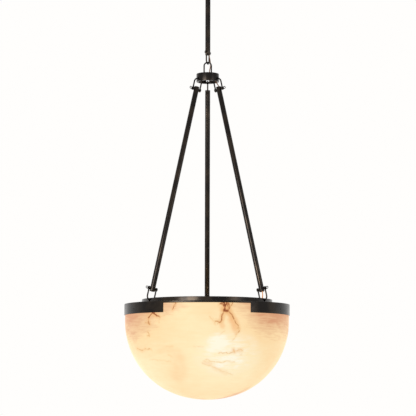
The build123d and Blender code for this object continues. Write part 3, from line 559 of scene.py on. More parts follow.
def tapered(tree, top, bottom, depth, sides):
    """A cone along Z with its tip cut off."""
    inputs = {"Vertices": sides, "Radius Top": top, "Radius Bottom": bottom, "Depth": depth}
    return add(tree, "GeometryNodeMeshCone", inputs).outputs[0]


def less(tree, part, cutter):
    """A part with a cutter taken out of it."""
    kind, inputs = "GeometryNodeMeshBoolean", {"Mesh 1": part, "Mesh 2": cutter}
    return add(tree, kind, inputs, operation="DIFFERENCE", solver="EXACT").outputs[0]


def repeated(tree, part, start, step, shown=True):
    """A part at a start, and once more a step away."""
    inputs = {"Count": 2, "Start Location": start, "Offset": step}
    seats = add(tree, "GeometryNodeMeshLine", inputs, mode="OFFSET").outputs[0]
    inputs = {"Points": seats, "Selection": shown, "Instance": part}
    return add(tree, "GeometryNodeInstanceOnPoints", inputs).outputs[0]


def link_tree():
    """A U link in XZ: its bow at the origin, its legs up along Z, with ears or without."""
    tree, s = new_tree(
        "Pendant Link", "Width", "Reach", "Wire", "Ear Radius", "Ear Thickness", "Pin"
    )
    half = halved(tree, s["Width"])
    minus_half = math(tree, "MULTIPLY", half, -1.0)
    has_ears = math(tree, "GREATER_THAN", s["Ear Radius"], 0.0)
    bite = math(tree, "MULTIPLY", has_ears, math(tree, "SUBTRACT", s["Ear Radius"], EAR_BITE))
    leg_end = math(tree, "SUBTRACT", s["Reach"], bite)
    corners = [
        point(tree, minus_half, 0.0, leg_end),
        point(tree, minus_half),
        point(tree, half),
        point(tree, half, 0.0, leg_end),
    ]
    chooser = tree.nodes.new("GeometryNodeIndexSwitch")
    chooser.data_type = "VECTOR"
    while len(chooser.index_switch_items) < len(corners):
        chooser.index_switch_items.new()
    index = tree.nodes.new("GeometryNodeInputIndex")
    tree.links.new(index.outputs[0], chooser.inputs["Index"])
    for n, corner in enumerate(corners):
        tree.links.new(corner, chooser.inputs[n + 1])
    inputs = {"Count": len(corners), "Offset": (0.0, 0.0, MM)}
    string = add(tree, "GeometryNodeMeshLine", inputs, mode="OFFSET")
    inputs = {"Geometry": string.outputs[0], "Position": chooser.outputs[0]}
    laid = add(tree, "GeometryNodeSetPosition", inputs)
    path = add(tree, "GeometryNodeMeshToCurve", {"Mesh": laid.outputs[0]}).outputs[0]
    bow = math(tree, "MULTIPLY", half, BOW_SHARE)
    wire = round_wire(tree, filleted(tree, path, bow, 14), s["Wire"])
    ear = washer(tree, halved(tree, s["Pin"]), s["Ear Radius"], s["Ear Thickness"], EAR_EDGE)
    ear = moved(tree, ear, (0.0, 0.0, 0.0), Z_TO_X)
    start = point(tree, minus_half, 0.0, s["Reach"])
    ears = repeated(tree, ear, start, point(tree, s["Width"]), has_ears)
    close_tree(tree, [wire, ears], s["Finish"])
    return tree


def eye_pin_tree():
    """An eye pin along X, with the middle of its shackle at the origin."""
    tree, s = new_tree(
        "Pendant Eye Pin",
        "Width", "Ear Thickness", "Pin", "Tail", "Collar Radius", "Collar Thickness",
        "Eye Radius", "Eye Wire",
    )
    half = halved(tree, s["Width"])
    ear_face = math(tree, "ADD", half, halved(tree, s["Ear Thickness"]))
    tip = math(tree, "DIVIDE", s["Pin"], 10.0)
    inner_end = math(tree, "SUBTRACT", tip, math(tree, "ADD", ear_face, s["Tail"]))
    collar_end = math(tree, "ADD", ear_face, s["Collar Thickness"])
    inputs = {"Start": point(tree, inner_end), "End": point(tree, collar_end)}
    run = add(tree, "GeometryNodeCurvePrimitiveLine", inputs).outputs[0]
    shank = round_wire(tree, run, s["Pin"], 28)
    radius = halved(tree, s["Pin"])
    nose = tapered(tree, math(tree, "SUBTRACT", radius, tip), radius, tip, 28)
    nose = moved(tree, nose, point(tree, inner_end), (0.0, -pi / 2, 0.0))
    bore = math(tree, "MULTIPLY", radius, COLLAR_BORE)
    collar = washer(tree, bore, s["Collar Radius"], s["Collar Thickness"], COLLAR_EDGE)
    collar_middle = halved(tree, math(tree, "ADD", ear_face, collar_end))
    collar = moved(tree, collar, point(tree, collar_middle), Z_TO_X)
    eye = round_wire(tree, round_path(tree, s["Eye Radius"], 32), s["Eye Wire"], 14, False)
    eye_middle = math(tree, "ADD", collar_end, s["Eye Radius"])
    eye = moved(tree, eye, point(tree, eye_middle), (pi / 2, 0.0, 0.0))
    close_tree(tree, [shank, nose, collar, eye], s["Finish"])
    return tree


def tube_tree():
    """A tube that hangs down from the origin, with a cross hole near each end."""
    tree, s = new_tree("Pendant Tube", "Diameter", "Wall", "Length", "Lip", "End", "Pin Hole")
    radius = halved(tree, s["Diameter"])
    inner = math(tree, "SUBTRACT", radius, s["Wall"])
    pipe = washer(tree, inner, radius, s["Length"], s["Lip"], 48)
    drop = math(tree, "DIVIDE", s["Length"], -2.0)
    pipe = moved(tree, pipe, point(tree, 0.0, 0.0, drop))
    drill = drum(tree, halved(tree, s["Pin Hole"]), math(tree, "MULTIPLY", s["Diameter"], 2.0))
    drill = moved(tree, drill, (0.0, 0.0, 0.0), Z_TO_X)
    start = point(tree, 0.0, 0.0, math(tree, "MULTIPLY", s["End"], -1.0))
    between = math(tree, "SUBTRACT", math(tree, "MULTIPLY", s["End"], 2.0), s["Length"])
    drills = repeated(tree, drill, start, point(tree, 0.0, 0.0, between))
    real = add(tree, "GeometryNodeRealizeInstances", {"Geometry": drills}).outputs[0]
    close_tree(tree, [less(tree, pipe, real)], s["Finish"])
    return tree


def nut_tree():
    """A hexagon nut on each point of the carrier, turned by its "turn" attribute."""
    tree, s = new_tree("Pendant Nuts", "Carrier", "Across Flats", "Height", "Thread")
    corner = math(tree, "DIVIDE", s["Across Flats"], 2.0 * cos(pi / 6))
    hexagon = drum(tree, corner, s["Height"], 6)
    top = math(tree, "MULTIPLY", corner, 0.9)
    foot = math(tree, "MULTIPLY", corner, 1.14)
    rounding = tapered(tree, top, foot, s["Height"], 48)
    half_down = math(tree, "DIVIDE", s["Height"], -2.0)
    rounding = moved(tree, rounding, point(tree, 0.0, 0.0, half_down))
    kind, inputs = "GeometryNodeMeshBoolean", {"Mesh 2": hexagon}
    eased = add(tree, kind, inputs, operation="INTERSECT", solver="EXACT")
    tree.links.new(rounding, eased.inputs["Mesh 2"])
    thread = drum(tree, s["Thread"], math(tree, "MULTIPLY", s["Height"], 3.0))
    bored = less(tree, eased.outputs[0], thread)
    seated = moved(tree, bored, point(tree, 0.0, 0.0, halved(tree, s["Height"])))
    kind = "GeometryNodeInputNamedAttribute"
    turn = add(tree, kind, {"Name": "turn"}, data_type="FLOAT_VECTOR")
    rotation = add(tree, "FunctionNodeEulerToRotation", {0: turn.outputs[0]})
    inputs = {"Points": s["Carrier"], "Instance": seated, "Rotation": rotation.outputs[0]}
    nuts = add(tree, "GeometryNodeInstanceOnPoints", inputs)
    close_tree(tree, [nuts.outputs[0]], s["Finish"])
    return tree


def points_carrier(places):
    """A carrier with one point for each place, which keeps the places' turns."""
    mesh = bpy.data.meshes.new("points")
    mesh.from_pydata([at.to_translation() for at in places], [], [])
    turns = mesh.attributes.new("turn", "FLOAT_VECTOR", "POINT")
    for item, at in zip(turns.data, places):
        item.vector = at.to_euler()
    return mesh


TREES = {}


def the_tree(name):
    """A tree by its name, built the first time that it is asked for."""
    makers = {"link": link_tree, "pin": eye_pin_tree, "tube": tube_tree, "nut": nut_tree}
    if name not in TREES:
        TREES[name] = makers[name]()
    return TREES[name]


# ---------------------------------------------------------------- finishes
def vector_math(tree, operation, a, b):
    """The node of a sum on two vectors."""
    return add(tree, "ShaderNodeVectorMath", {0: a, 1: b}, operation=operation)


def new_finish(name):
    """A material with nothing in it but its output."""
    finish = bpy.data.materials.new(name)
    finish.use_nodes = True
    tree = finish.node_tree
    tree.nodes.clear()
    tree.nodes.new("ShaderNodeOutputMaterial")
    return finish, tree


def to_surface(tree, shader):
    """Connects the shader to the material's output."""
    tree.links.new(shader, tree.nodes["Material Output"].inputs["Surface"])


def noise(tree, where, scale, detail=3.0, roughness=0.5):
    """Clouds of noise from 0 to 1 in the piece's own space."""
    inputs = {"Vector": where, "Scale": scale, "Detail": detail, "Roughness": roughness}
    return add(tree, "ShaderNodeTexNoise", inputs).outputs[0]


def spread(tree, value, from_low, from_high, to_low, to_high):
    """A value moved from one range to another, and kept inside it."""
    inputs = {0: value, 1: from_low, 2: from_high, 3: to_low, 4: to_high}
    return add(tree, "ShaderNodeMapRange", inputs, clamp=True).outputs[0]


def mixed(tree, factor, a, b):
    """A colour between two others."""
    a, b = (v if isinstance(v, bpy.types.NodeSocket) else (*v, 1.0) for v in (a, b))
    node = tree.nodes.new("ShaderNodeMix")
    node.data_type = "RGBA"
    for socket, value in ((node.inputs[0], factor), (node.inputs[6], a), (node.inputs[7], b)):
        if isinstance(value, bpy.types.NodeSocket):
            tree.links.new(value, socket)
        else:
            socket.default_value = value
    return node.outputs[2]


def toned(tint, factor):
    """A colour made darker or lighter."""
    return tuple(factor * v for v in tint)


def coated(finish, tree, inputs):
    """The material, ended with a principled shader."""
    to_surface(tree, add(tree, "ShaderNodeBsdfPrincipled", inputs).outputs[0])
    return finish


def own_space(tree):
    """The piece's own coordinates, which are the fixture's, in metres."""
    return tree.nodes.new("ShaderNodeTexCoord").outputs["Object"]


def bumped(tree, height, depth, strength=0.5):
    """A normal that follows a height from 0 to 1, this many metres deep."""
    inputs = {"Height": height, "Distance": depth, "Strength": strength}
    return add(tree, "ShaderNodeBump", inputs).outputs[0]


GRAIN_DEPTH = 0.00005


def plain_finish(name, main, other, roughness, metallic, grain):
    """A finish with cloudy colour, uneven gloss and a fine grain."""
    finish, tree = new_finish(name)
    where = own_space(tree)
    clouds = noise(tree, where, grain, 4.0)
    grains = noise(tree, where, grain * 14.0, 2.0)
    tint = mixed(tree, spread(tree, clouds, 0.35, 0.68, 0.0, 1.0), main, other)
    gloss = spread(tree, clouds, 0.3, 0.7, roughness - 0.06, roughness + 0.08)
    inputs = {
        "Base Color": tint,
        "Roughness": gloss,
        "Metallic": metallic,
        "Normal": bumped(tree, grains, GRAIN_DEPTH),
    }
    return coated(finish, tree, inputs)


def bronze_finish():
    """Dark bronze: brown-black with softly rubbed clouds and a satin gloss."""
    colours = bpy.context.scene.pendant_finishes
    finish, tree = new_finish("dark_bronze")
    where = own_space(tree)
    clouds = noise(tree, where, 22.0, 2.0)
    grain = noise(tree, where, 240.0, 2.0)
    wear = spread(tree, clouds, 0.45, 0.80, 0.0, 0.8)
    tint = mixed(tree, wear, colours.bronze, colours.bronze_rubbed)
    rough = colours.bronze_gloss
    gloss = spread(tree, clouds, 0.3, 0.7, rough + 0.05, rough - 0.05)
    inputs = {
        "Base Color": tint,
        "Roughness": gloss,
        "Metallic": 0.9,
        "Normal": bumped(tree, grain, 0.00001, 0.03),
    }
    return coated(finish, tree, inputs)


FINISHES = {}
# The small parts: slot, colour, tone of its clouds, roughness, metallic and scale of the grain.
PLAIN_FINISHES = (
    ("zinc_steel", "zinc", 0.8, 0.38, 0.9, 90.0),
    ("brass", "brass", 0.75, 0.3, 1.0, 80.0),
    ("white_ceramic", "ceramic", 0.88, 0.4, 0.0, 60.0),
    ("black_rubber", "rubber", 1.7, 0.75, 0.0, 120.0),
    ("ground_green", "green", 0.6, 0.4, 0.3, 120.0),
    ("connector_plastic", "connector", 0.8, 0.5, 0.0, 60.0),
    ("lead_insulation", "lead", 1.6, 0.35, 0.0, 60.0),
)


class PENDANT_OT_finishes(bpy.types.Operator):
    """Makes the materials and gives every CAD node the one of its slot"""

    bl_idname = "pendant.finishes"
    bl_label = "Finishes"

    def execute(self, context):
        c = context.scene.pendant_finishes
        FINISHES["dark_bronze"] = bronze_finish()
        for slot, key, tone, roughness, metallic, grain in PLAIN_FINISHES:
            main = getattr(c, key)
            other = toned(main, tone)
            FINISHES[slot] = plain_finish(slot, main, other, roughness, metallic, grain)
        # Painted glow: faint on the amber cable, strong on the lit cable, standing in for the bulbs' light falling
        # on it near the lamps.
        FINISHES["amber_cable"] = cable_finish("amber_cable", 0.04)
        FINISHES["lit_cable"] = cable_finish("lit_cable", 3.2)
        FINISHES["frosted_glass"] = glass_finish()
        FINISHES["alabaster"] = stone_finish()
        for node, thing in frame["nodes"].items():
            thing.data.materials.clear()
            thing.data.materials.append(FINISHES[SLOT_OF_NODE[node]])
        return {"FINISHED"}


def cable_finish(name, glow):
    """Clear amber insulation with a painted glow, an emission of the given strength."""
    c = bpy.context.scene.pendant_finishes
    finish, tree = new_finish(name)
    where = own_space(tree)
    clouds = noise(tree, where, 260.0, 3.0)
    tint = mixed(tree, clouds, c.cable, toned(c.cable, 0.6))
    inputs = {
        "Base Color": tint,
        "Roughness": spread(tree, clouds, 0.3, 0.7, 0.22, 0.36),
        "Coat Weight": 0.3,
        "Emission Color": tint,
        "Emission Strength": glow,
        "Normal": bumped(tree, clouds, 0.00004, 0.3),
    }
    return coated(finish, tree, inputs)


def glass_finish():
    """Frosted glass that glows."""
    c = bpy.context.scene.pendant_finishes
    finish, tree = new_finish("frosted_glass")
    where = own_space(tree)
    clouds = noise(tree, where, 40.0, 3.0)
    grains = noise(tree, where, 900.0, 2.0)
    light = mixed(tree, clouds, c.light, (1.0, 0.90, 0.70))
    inputs = {
        "Base Color": (*c.glass, 1.0),
        "Roughness": spread(tree, grains, 0.3, 0.7, 0.38, 0.52),
        "Emission Color": light,
        "Emission Strength": 1.1,
        "Normal": bumped(tree, grains, 0.00003, 0.3),
    }
    return coated(finish, tree, inputs)


def stone_finish():
    """Lit alabaster: tones and hot spots by where the bulbs are, wisps and rust veins."""
    c = bpy.context.scene.pendant_finishes
    finish, tree = new_finish("alabaster")
    where = own_space(tree)

    def mark(name, socket="Fac"):
        return add(tree, "ShaderNodeAttribute", attribute_name=name).outputs[socket]

    def swayed(scale, reach):
        """The place, shifted to and fro by up to about this many metres."""
        clouds = add(tree, "ShaderNodeTexNoise", {"Vector": where, "Scale": scale, "Detail": 3.0})
        centred = vector_math(tree, "SUBTRACT", clouds.outputs["Color"], (0.5, 0.5, 0.5))
        inputs = {0: centred.outputs[0], 3: reach * 4.0}
        return add(tree, "ShaderNodeVectorMath", inputs, operation="SCALE").outputs[0]

    clouds = noise(tree, where, 6.0, 5.0, 0.55)
    patches = noise(tree, where, 21.0, 4.0, 0.5)
    flat = vector_math(tree, "MULTIPLY", where, (1.0, 1.0, 4.5)).outputs[0]
    wisps = noise(tree, flat, 13.0, 6.0, 0.62)
    flatter = vector_math(tree, "MULTIPLY", where, (1.0, 1.0, 7.0)).outputs[0]
    streaks = noise(tree, flatter, 30.0, 4.0, 0.6)

    dim = math(tree, "ADD", mark("dim"), spread(tree, clouds, 0.3, 0.7, -0.14, 0.14))
    dim = math(tree, "ADD", dim, spread(tree, wisps, 0.3, 0.7, -0.10, 0.10))
    dim = math(tree, "ADD", dim, spread(tree, streaks, 0.3, 0.7, -0.10, 0.10))
    lower = spread(tree, dim, -0.2, 0.5, 0.0, 1.0)
    upper = spread(tree, dim, 0.5, 1.0, 0.0, 1.0)
    glow = mixed(tree, lower, c.glow_near, c.glow_middle)
    glow = mixed(tree, upper, glow, c.glow_far)
    swing = spread(tree, wisps, 0.3, 0.7, -0.20, 0.20)
    swing = math(tree, "ADD", swing, spread(tree, streaks, 0.35, 0.65, -0.18, 0.18))
    near_hot = spread(tree, mark("hot"), 0.0, 0.3, 0.0, 1.0)
    hot = math(tree, "MULTIPLY_ADD", swing, near_hot, mark("hot"))
    glow = mixed(tree, spread(tree, hot, 0.05, 0.62, 0.0, 1.0), glow, c.glow_hot)

    stain = math(tree, "MULTIPLY", mark("stain"), spread(tree, patches, 0.3, 0.62, 0.55, 1.15))
    glow = mixed(tree, stain, glow, c.stain)

    shifted = vector_math(tree, "ADD", where, swayed(70.0, 0.0016)).outputs[0]
    shifted = vector_math(tree, "ADD", shifted, swayed(330.0, 0.0006)).outputs[0]
    gap = vector_math(tree, "DISTANCE", shifted, mark("vein", "Vector")).outputs["Value"]
    gap = math(tree, "DIVIDE", gap, math(tree, "MAXIMUM", mark("vein_size"), 0.0005))
    core = spread(tree, gap, 0.25, 1.25, 1.0, 0.0)
    halo = spread(tree, gap, 0.6, 3.2, 0.34, 0.0)
    patchy = spread(tree, noise(tree, where, 120.0, 3.0), 0.32, 0.6, 0.7, 1.0)
    veins = math(tree, "MULTIPLY", math(tree, "MAXIMUM", core, halo), patchy)
    veins = math(tree, "MULTIPLY", veins, mark("vein_depth"))
    glow = mixed(tree, spread(tree, veins, 0.0, 0.28, 0.0, 0.85), glow, c.vein_faint)
    glow = mixed(tree, spread(tree, veins, 0.22, 0.62, 0.0, 0.95), glow, c.vein)
    glow = mixed(tree, spread(tree, veins, 0.50, 0.95, 0.0, 0.95), glow, c.vein_core)

    # The painted glow is 70% weaker on the bowl's inside.
    glow = mixed(tree, math(tree, "MULTIPLY", mark("inside"), 0.7), glow, (0.0, 0.0, 0.0))

    base = mixed(tree, wisps, c.stone, toned(c.stone, 0.85))
    base = mixed(tree, spread(tree, veins, 0.0, 0.8, 0.0, 0.9), base, c.vein_core)
    fine = noise(tree, where, 160.0, 4.0, 0.6)
    inputs = {
        "Base Color": base,
        "Roughness": spread(tree, patches, 0.3, 0.7, 0.36, 0.48),
        "Specular IOR Level": 0.2,
        "Emission Color": glow,
        "Emission Strength": 0.92,
        "Normal": bumped(tree, fine, 0.00008, 0.25),
    }
    return coated(finish, tree, inputs)


# ---------------------------------------------------------------- links, pins and tubes
def make_link(name, body, node, at, bail_tail=None):
    """A shackle with ears, or a bail whose legs reach a tail's length behind its face."""
    s = bpy.context.scene.pendant_links
    settings = {
        "Width": s.width,
        "Reach": s.reach,
        "Wire": s.wire,
        "Ear Radius": s.ear,
        "Ear Thickness": s.ear_thickness,
        "Pin": s.pin + 2 * HOLE_PLAY,
    }
    if bail_tail is not None:
        settings["Width"] = s.bail_width
        settings["Reach"] = s.bail_reach + bail_tail
        settings["Ear Radius"] = 0.0
    piece(name, grown("link", settings, at), body, node)


def eye_pin_mesh(at):
    """The mesh of an eye pin whose shackle's middle is at this place."""
    s = bpy.context.scene.pendant_links
    settings = {
        "Width": s.width,
        "Ear Thickness": s.ear_thickness,
        "Pin": s.pin,
        "Tail": s.pin_tail,
        "Collar Radius": s.collar,
        "Collar Thickness": s.collar_thickness,
        "Eye Radius": s.eye,
        "Eye Wire": s.eye_wire,
    }
    return grown("pin", settings, at)


def make_tube(name, body, node, at, length):
    """A tube that hangs down from a place."""
    s = bpy.context.scene.pendant_tubes
    settings = {
        "Diameter": s.diameter,
        "Wall": s.wall,
        "Length": length,
        "Lip": s.lip,
        "End": s.end,
        "Pin Hole": s.pin_hole,
    }
    piece(name, grown("tube", settings, at), body, node)


def make_nuts(body, seat, way):
    """The two hexagon nuts of a body's bail, on their seat and up along a direction."""
    s = bpy.context.scene.pendant_links
    settings = {
        "Across Flats": s.nut,
        "Height": s.nut_height,
        "Thread": s.wire / 2 + HOLE_PLAY,
    }
    half = s.bail_width / 2
    carrier = points_carrier([place((x, 0, seat), (1, 0, 0), way) for x in (-half, half)])
    node = f"{body}_bail_nuts"
    mesh = grown("nut", settings, slot=SLOT_OF_NODE[node], carrier=carrier)
    piece(f"nuts_{body}_bail", mesh, body, node)


class PENDANT_OT_links(bpy.types.Operator):
    """Makes the bails and their nuts, the shackles and the eye pins"""

    bl_idname = "pendant.links"
    bl_label = "Links and pins"

    def execute(self, context):
        s = context.scene.pendant_links
        canopy_tail = high("canopy_bail") - CANOPY_FACE
        hub_tail = HUB_TOP - low("hub_bail")
        for body, joint, way, tail in (
            ("canopy", "upper_shackle_swing", UP, canopy_tail),
            ("hub", "hub_swing", DOWN, hub_tail),
        ):
            at = place(joint_place(joint), (1, 0, 0), way)
            make_link(f"bail_{body}", body, f"{body}_bail", at, tail)
        upper_pin = joint_place("stem_swing")
        lower_pin = joint_place("lower_shackle_swing")
        for body, bow, way in (
            ("upper_shackle", upper_pin + UP * s.reach, DOWN),
            ("lower_shackle", lower_pin + DOWN * s.reach, UP),
        ):
            name = body.removesuffix("_shackle")
            make_link(f"link_stem_{name}", body, body, place(bow, PIN_LINE, way))
        for name, at in (("upper", upper_pin), ("lower", lower_pin)):
            mesh = eye_pin_mesh(place(at, PIN_LINE, UP))
            piece(f"pin_stem_{name}", mesh, f"{name}_shackle", f"{name}_shackle_pin")
        for name in HANGERS:
            body = f"{name}_hanger"
            length = hanger_length(name)
            top = on_hanger(name, 0.0) @ Matrix.Rotation(pi, 4, "X")
            make_link(f"link_{name}_top", body, f"{name}_top_shackle", top)
            bottom = on_hanger(name, length)
            make_link(f"link_{name}_bottom", body, f"{name}_bottom_shackle", bottom)
            pins = [eye_pin_mesh(on_hanger(name, d)) for d in (s.reach, length - s.reach)]
            piece(f"pins_{name}", smooth(joined(pins)), body, f"{name}_eye_pins")
        make_nuts("canopy", high("canopy_backing_plate"), UP)
        make_nuts("hub", HUB_TOP - context.scene.pendant_caps.hub_top, DOWN)
        return {"FINISHED"}


def hanger_length(name):
    """From a hanger's hook in the hub to its hook in the hanging ring."""
    rise = bpy.context.scene.pendant_rings.hook_rise
    hook = joint_place(f"{name}_hanger_swing")
    up_line = on_hanger(name, 0.0).to_3x3() @ UP
    return (hook.z - RING_TOP - rise) / up_line.z


class PENDANT_OT_tubes(bpy.types.Operator):
    """Makes the stem and the three rods"""

    bl_idname = "pendant.tubes"
    bl_label = "Stem and rods"

    def execute(self, context):
        s = context.scene.pendant_tubes
        links = context.scene.pendant_links
        top = joint_place("stem_swing") + UP * s.end
        bottom = joint_place("lower_shackle_swing") + DOWN * s.end
        make_tube("tube_stem", "stem", "stem", place(top, PIN_LINE, UP), (top - bottom).length)
        for name in HANGERS:
            start = links.reach - s.end
            length = hanger_length(name) - 2 * start
            at = on_hanger(name, start)
            make_tube(f"tube_{name}", f"{name}_hanger", f"{name}_rod", at, length)
        return {"FINISHED"}


# ---------------------------------------------------------------- canopy and hub
def bail_holes(face, direction, length):
    """Cutters for a bail's two legs and the cable's grommet."""
    links = bpy.context.scene.pendant_links
    caps = bpy.context.scene.pendant_caps
    half = links.bail_width / 2
    leg = links.wire / 2 + HOLE_PLAY
    spots = [(-half, 0.0, leg), (half, 0.0, leg), (caps.cable_x, caps.cable_y, caps.cable_hole)]
    return [rod((x, y, face), direction, radius, length) for x, y, radius in spots]


def outward_holes(radius, z, hole, length, segments=32):
    """Round cutters that run outwards from a radius, one towards each hanger."""
    cutters = []
    for name in HANGERS:
        a = hanger_angle(name)
        start = outward(a, radius, z)
        cutters.append(rod(start, outward(a, 1.0, 0.0), hole, length, segments))
    return cutters


def make_canopy():
    """The shallow cup at the ceiling, with holes for its studs, bail and cable."""
    s = bpy.context.scene.pendant_caps
    radius, wall, edge = s.canopy_radius, s.canopy_wall, s.canopy_edge
    foot = CANOPY_FACE + edge
    outline = (
        [(0.0, CANOPY_FACE)]
        + line((0.0, CANOPY_FACE), (radius - edge, CANOPY_FACE), 6)
        + arc((radius - edge, foot), edge, -90, 0, 8)[1:]
        + [(radius, 0.0), (radius - wall, 0.0)]
        + arc((radius - edge, foot), edge - wall, 0, -90, 4)
        + [(0.0, CANOPY_FACE + wall)]
    )
    stud, stud_radius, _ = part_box("crossbar_studs")[1]
    below, through = CANOPY_FACE - 5 * MM, 10 * MM
    cutters = bail_holes(below, UP, through)
    for side in (-1, 1):
        x = side * (stud - stud_radius)
        cutters.append(rod((x, 0, below), UP, stud_radius + HOLE_PLAY, through))
    mesh = drilled(turned(outline, CAP_SEGMENTS, FINISHES["dark_bronze"]), cutters)
    piece("shell_canopy", mesh, "canopy", "canopy")


def make_hub():
    """The upturned cup that the three hangers hook into."""
    s = bpy.context.scene.pendant_caps
    radius, edge = s.hub_radius, s.hub_edge
    bore = radius - s.hub_wall
    roof = HUB_TOP - s.hub_top
    outline = (
        [(0.0, HUB_TOP)]
        + arc((radius - edge, HUB_TOP - edge), edge, 90, 0, 6)
        + arc((radius - edge, HUB_BOTTOM + edge), edge, 0, -90, 6)
        + arc((bore + edge / 2, HUB_BOTTOM + edge / 2), edge / 2, -90, -180, 4)
        + arc((bore - edge, roof - edge), edge, 0, 90, 4)
        + [(0.0, roof)]
    )
    cutters = bail_holes(roof - 2 * MM, UP, s.hub_top + 4 * MM)
    for name in HANGERS:
        hook = joint_place(f"{name}_hanger_swing")
        start = Vector((hook.x, hook.y, hook.z + s.hook_ride))
        out_line = Vector((hook.x, hook.y, 0)).normalized()
        start -= out_line * (10 * MM)
        cutters.append(rod(start, out_line, s.hook_hole, 30 * MM, 40))
    mesh = drilled(turned(outline, CAP_SEGMENTS, FINISHES["dark_bronze"]), cutters)
    piece("cap_hub", mesh, "hub", "hub")


class PENDANT_OT_caps(bpy.types.Operator):
    """Makes the canopy and the hub"""

    bl_idname = "pendant.caps"
    bl_label = "Canopy and hub"

    def execute(self, context):
        make_canopy()
        make_hub()
        return {"FINISHED"}


# ---------------------------------------------------------------- rings
def bowl_ring_mesh(s, finish):
    """The flat ring whose edge turns down into three tabs, made slice by slice."""
    bore = s.radius - s.width
    tab_foot = RING_TOP - s.tab_depth
    inner = s.radius - s.tab_thickness
    ease = 0.3 * MM

    def section(in_tab):
        foot = tab_foot if in_tab else RING_UNDER
        foot_edge = ease if in_tab else 0.0
        points = [(bore, RING_UNDER)]
        points += arc((bore + s.edge, RING_TOP - s.edge), s.edge, 180, 90, 4)
        points += arc((s.radius - s.edge, RING_TOP - s.edge), s.edge, 90, 0, 4)
        points += [(s.radius, RING_UNDER)]
        points += [(s.radius, foot + foot_edge), (s.radius - foot_edge, foot)]
        points += [(inner + foot_edge, foot), (inner, foot + foot_edge)]
        points += [(inner, RING_UNDER)]
        return points

    half = degrees(s.tab_angle) / 2
    step = 1.25  # about, from slice to slice, in degrees
    ordered = []
    for name in sorted(HANGERS, key=lambda n: hanger_angle(n) % 360):
        middle = hanger_angle(name) % 360
        count = round(2 * half / step)
        ordered.append((middle - half, False))
        ordered += [(middle - half + 2 * half * n / count, True) for n in range(count + 1)]
        ordered.append((middle + half, False))
        gap = 360 / len(HANGERS) - 2 * half
        count = round(gap / step)
        ordered += [(middle + half + gap * n / count, False) for n in range(1, count)]

    bm = bmesh.new()
    loops = []
    for a, in_tab in ordered:
        loops.append([bm.verts.new(outward(a, r, z)) for r, z in section(in_tab)])
    skin(bm, loops, closed=True)
    bmesh.ops.remove_doubles(bm, verts=bm.verts, dist=1e-6)
    bmesh.ops.dissolve_degenerate(bm, edges=bm.edges, dist=1e-6)
    bmesh.ops.recalc_face_normals(bm, faces=bm.faces)
    return mesh_of(bm, finish)


def make_bowl_ring():
    """The flat ring with its tabs, holed for the set screws and the screws of the arms."""
    s = bpy.context.scene.pendant_rings
    cutters = []
    for name in HANGERS:
        a = hanger_angle(name)
        out_line = outward(a, 1.0, 0.0)
        start = outward(a, s.radius - 20 * MM, RING_TOP - s.screw_drop)
        cutters.append(rod(start, out_line, s.screw + HOLE_PLAY, 30 * MM))
        start = outward(a, s.radius - s.spider_screw_inset, RING_UNDER - 5 * MM)
        cutters.append(rod(start, UP, s.spider_screw + ARM_SCREW_PLAY, 20 * MM))
    mesh = drilled(bowl_ring_mesh(s, FINISHES["dark_bronze"]), cutters)
    piece("ring_bowl", mesh, "bowl", "bowl_ring")


def make_hanging_ring():
    """The upright ring with three holes for the hooks."""
    s = bpy.context.scene.pendant_rings
    outer = s.radius - s.upright_inset
    inner = outer - s.upright_wall
    top = RING_TOP + s.upright_height
    edge = 0.6 * MM
    outline = (
        [(inner, RING_TOP)]
        + arc((inner + edge, top - edge), edge, 180, 90, 4)
        + arc((outer - edge, top - edge), edge, 90, 0, 4)
        + [(outer, RING_TOP)]
    )
    hook_z = RING_TOP + s.hook_rise - s.hook_ride
    hook_hole = bpy.context.scene.pendant_caps.hook_hole
    cutters = outward_holes(inner - 5 * MM, hook_z, hook_hole, 15 * MM, 40)
    mesh = drilled(turned(outline, 2 * CAP_SEGMENTS, FINISHES["dark_bronze"]), cutters)
    piece("ring_hanging", mesh, "bowl", "hanging_ring")


class PENDANT_OT_rings(bpy.types.Operator):
    """Makes the bowl ring with its tabs and the upright ring that it hangs by"""

    bl_idname = "pendant.rings"
    bl_label = "Rings"

    def execute(self, context):
        make_bowl_ring()
        make_hanging_ring()
        return {"FINISHED"}


# ---------------------------------------------------------------- alabaster bowl
def bowl_curve(s, inset, row):
    """The bowl's section from its foot up to its collar, as (radius, height) points."""
    sweep = degrees(s.side_sweep)
    side = s.radius - s.side_offset
    base = side + s.side_offset / cos(s.side_sweep)
    shoulder_z = RIM - s.collar
    base_z = shoulder_z + s.side_offset * tan(s.side_sweep)
    side, base = side - inset, base - inset
    base_rows = max(2, round(base * radians(90 - sweep) / row))
    side_rows = max(2, round(side * radians(sweep) / row))
    points = arc((0.0, base_z), base, -90, -sweep, base_rows)
    points[0] = (0.0, base_z - base)
    points += arc((s.side_offset, shoulder_z), side, -sweep, 0, side_rows)[1:]
    return points


def bowl_outline(s):
    """The closed section of the bowl: up its outside, over the rim and down its inside."""
    outer = bowl_curve(s, 0.0, FINE_ROW)
    inner = bowl_curve(s, s.wall, COARSE_ROW)
    collar_foot = RIM - s.collar
    bore = s.radius - s.wall
    collar = line((s.radius, collar_foot), (s.radius, RIM - s.lip), 15)
    lip_out = arc((s.radius - s.lip, RIM - s.lip), s.lip, 0, 90, 5)[1:]
    lip_in = arc((bore + s.lip, RIM - s.lip), s.lip, 90, 180, 5)
    inside = line((bore, RIM - s.lip), (bore, collar_foot), 8)[:-1]
    return outer + collar + lip_out + lip_in + inside + list(reversed(inner))


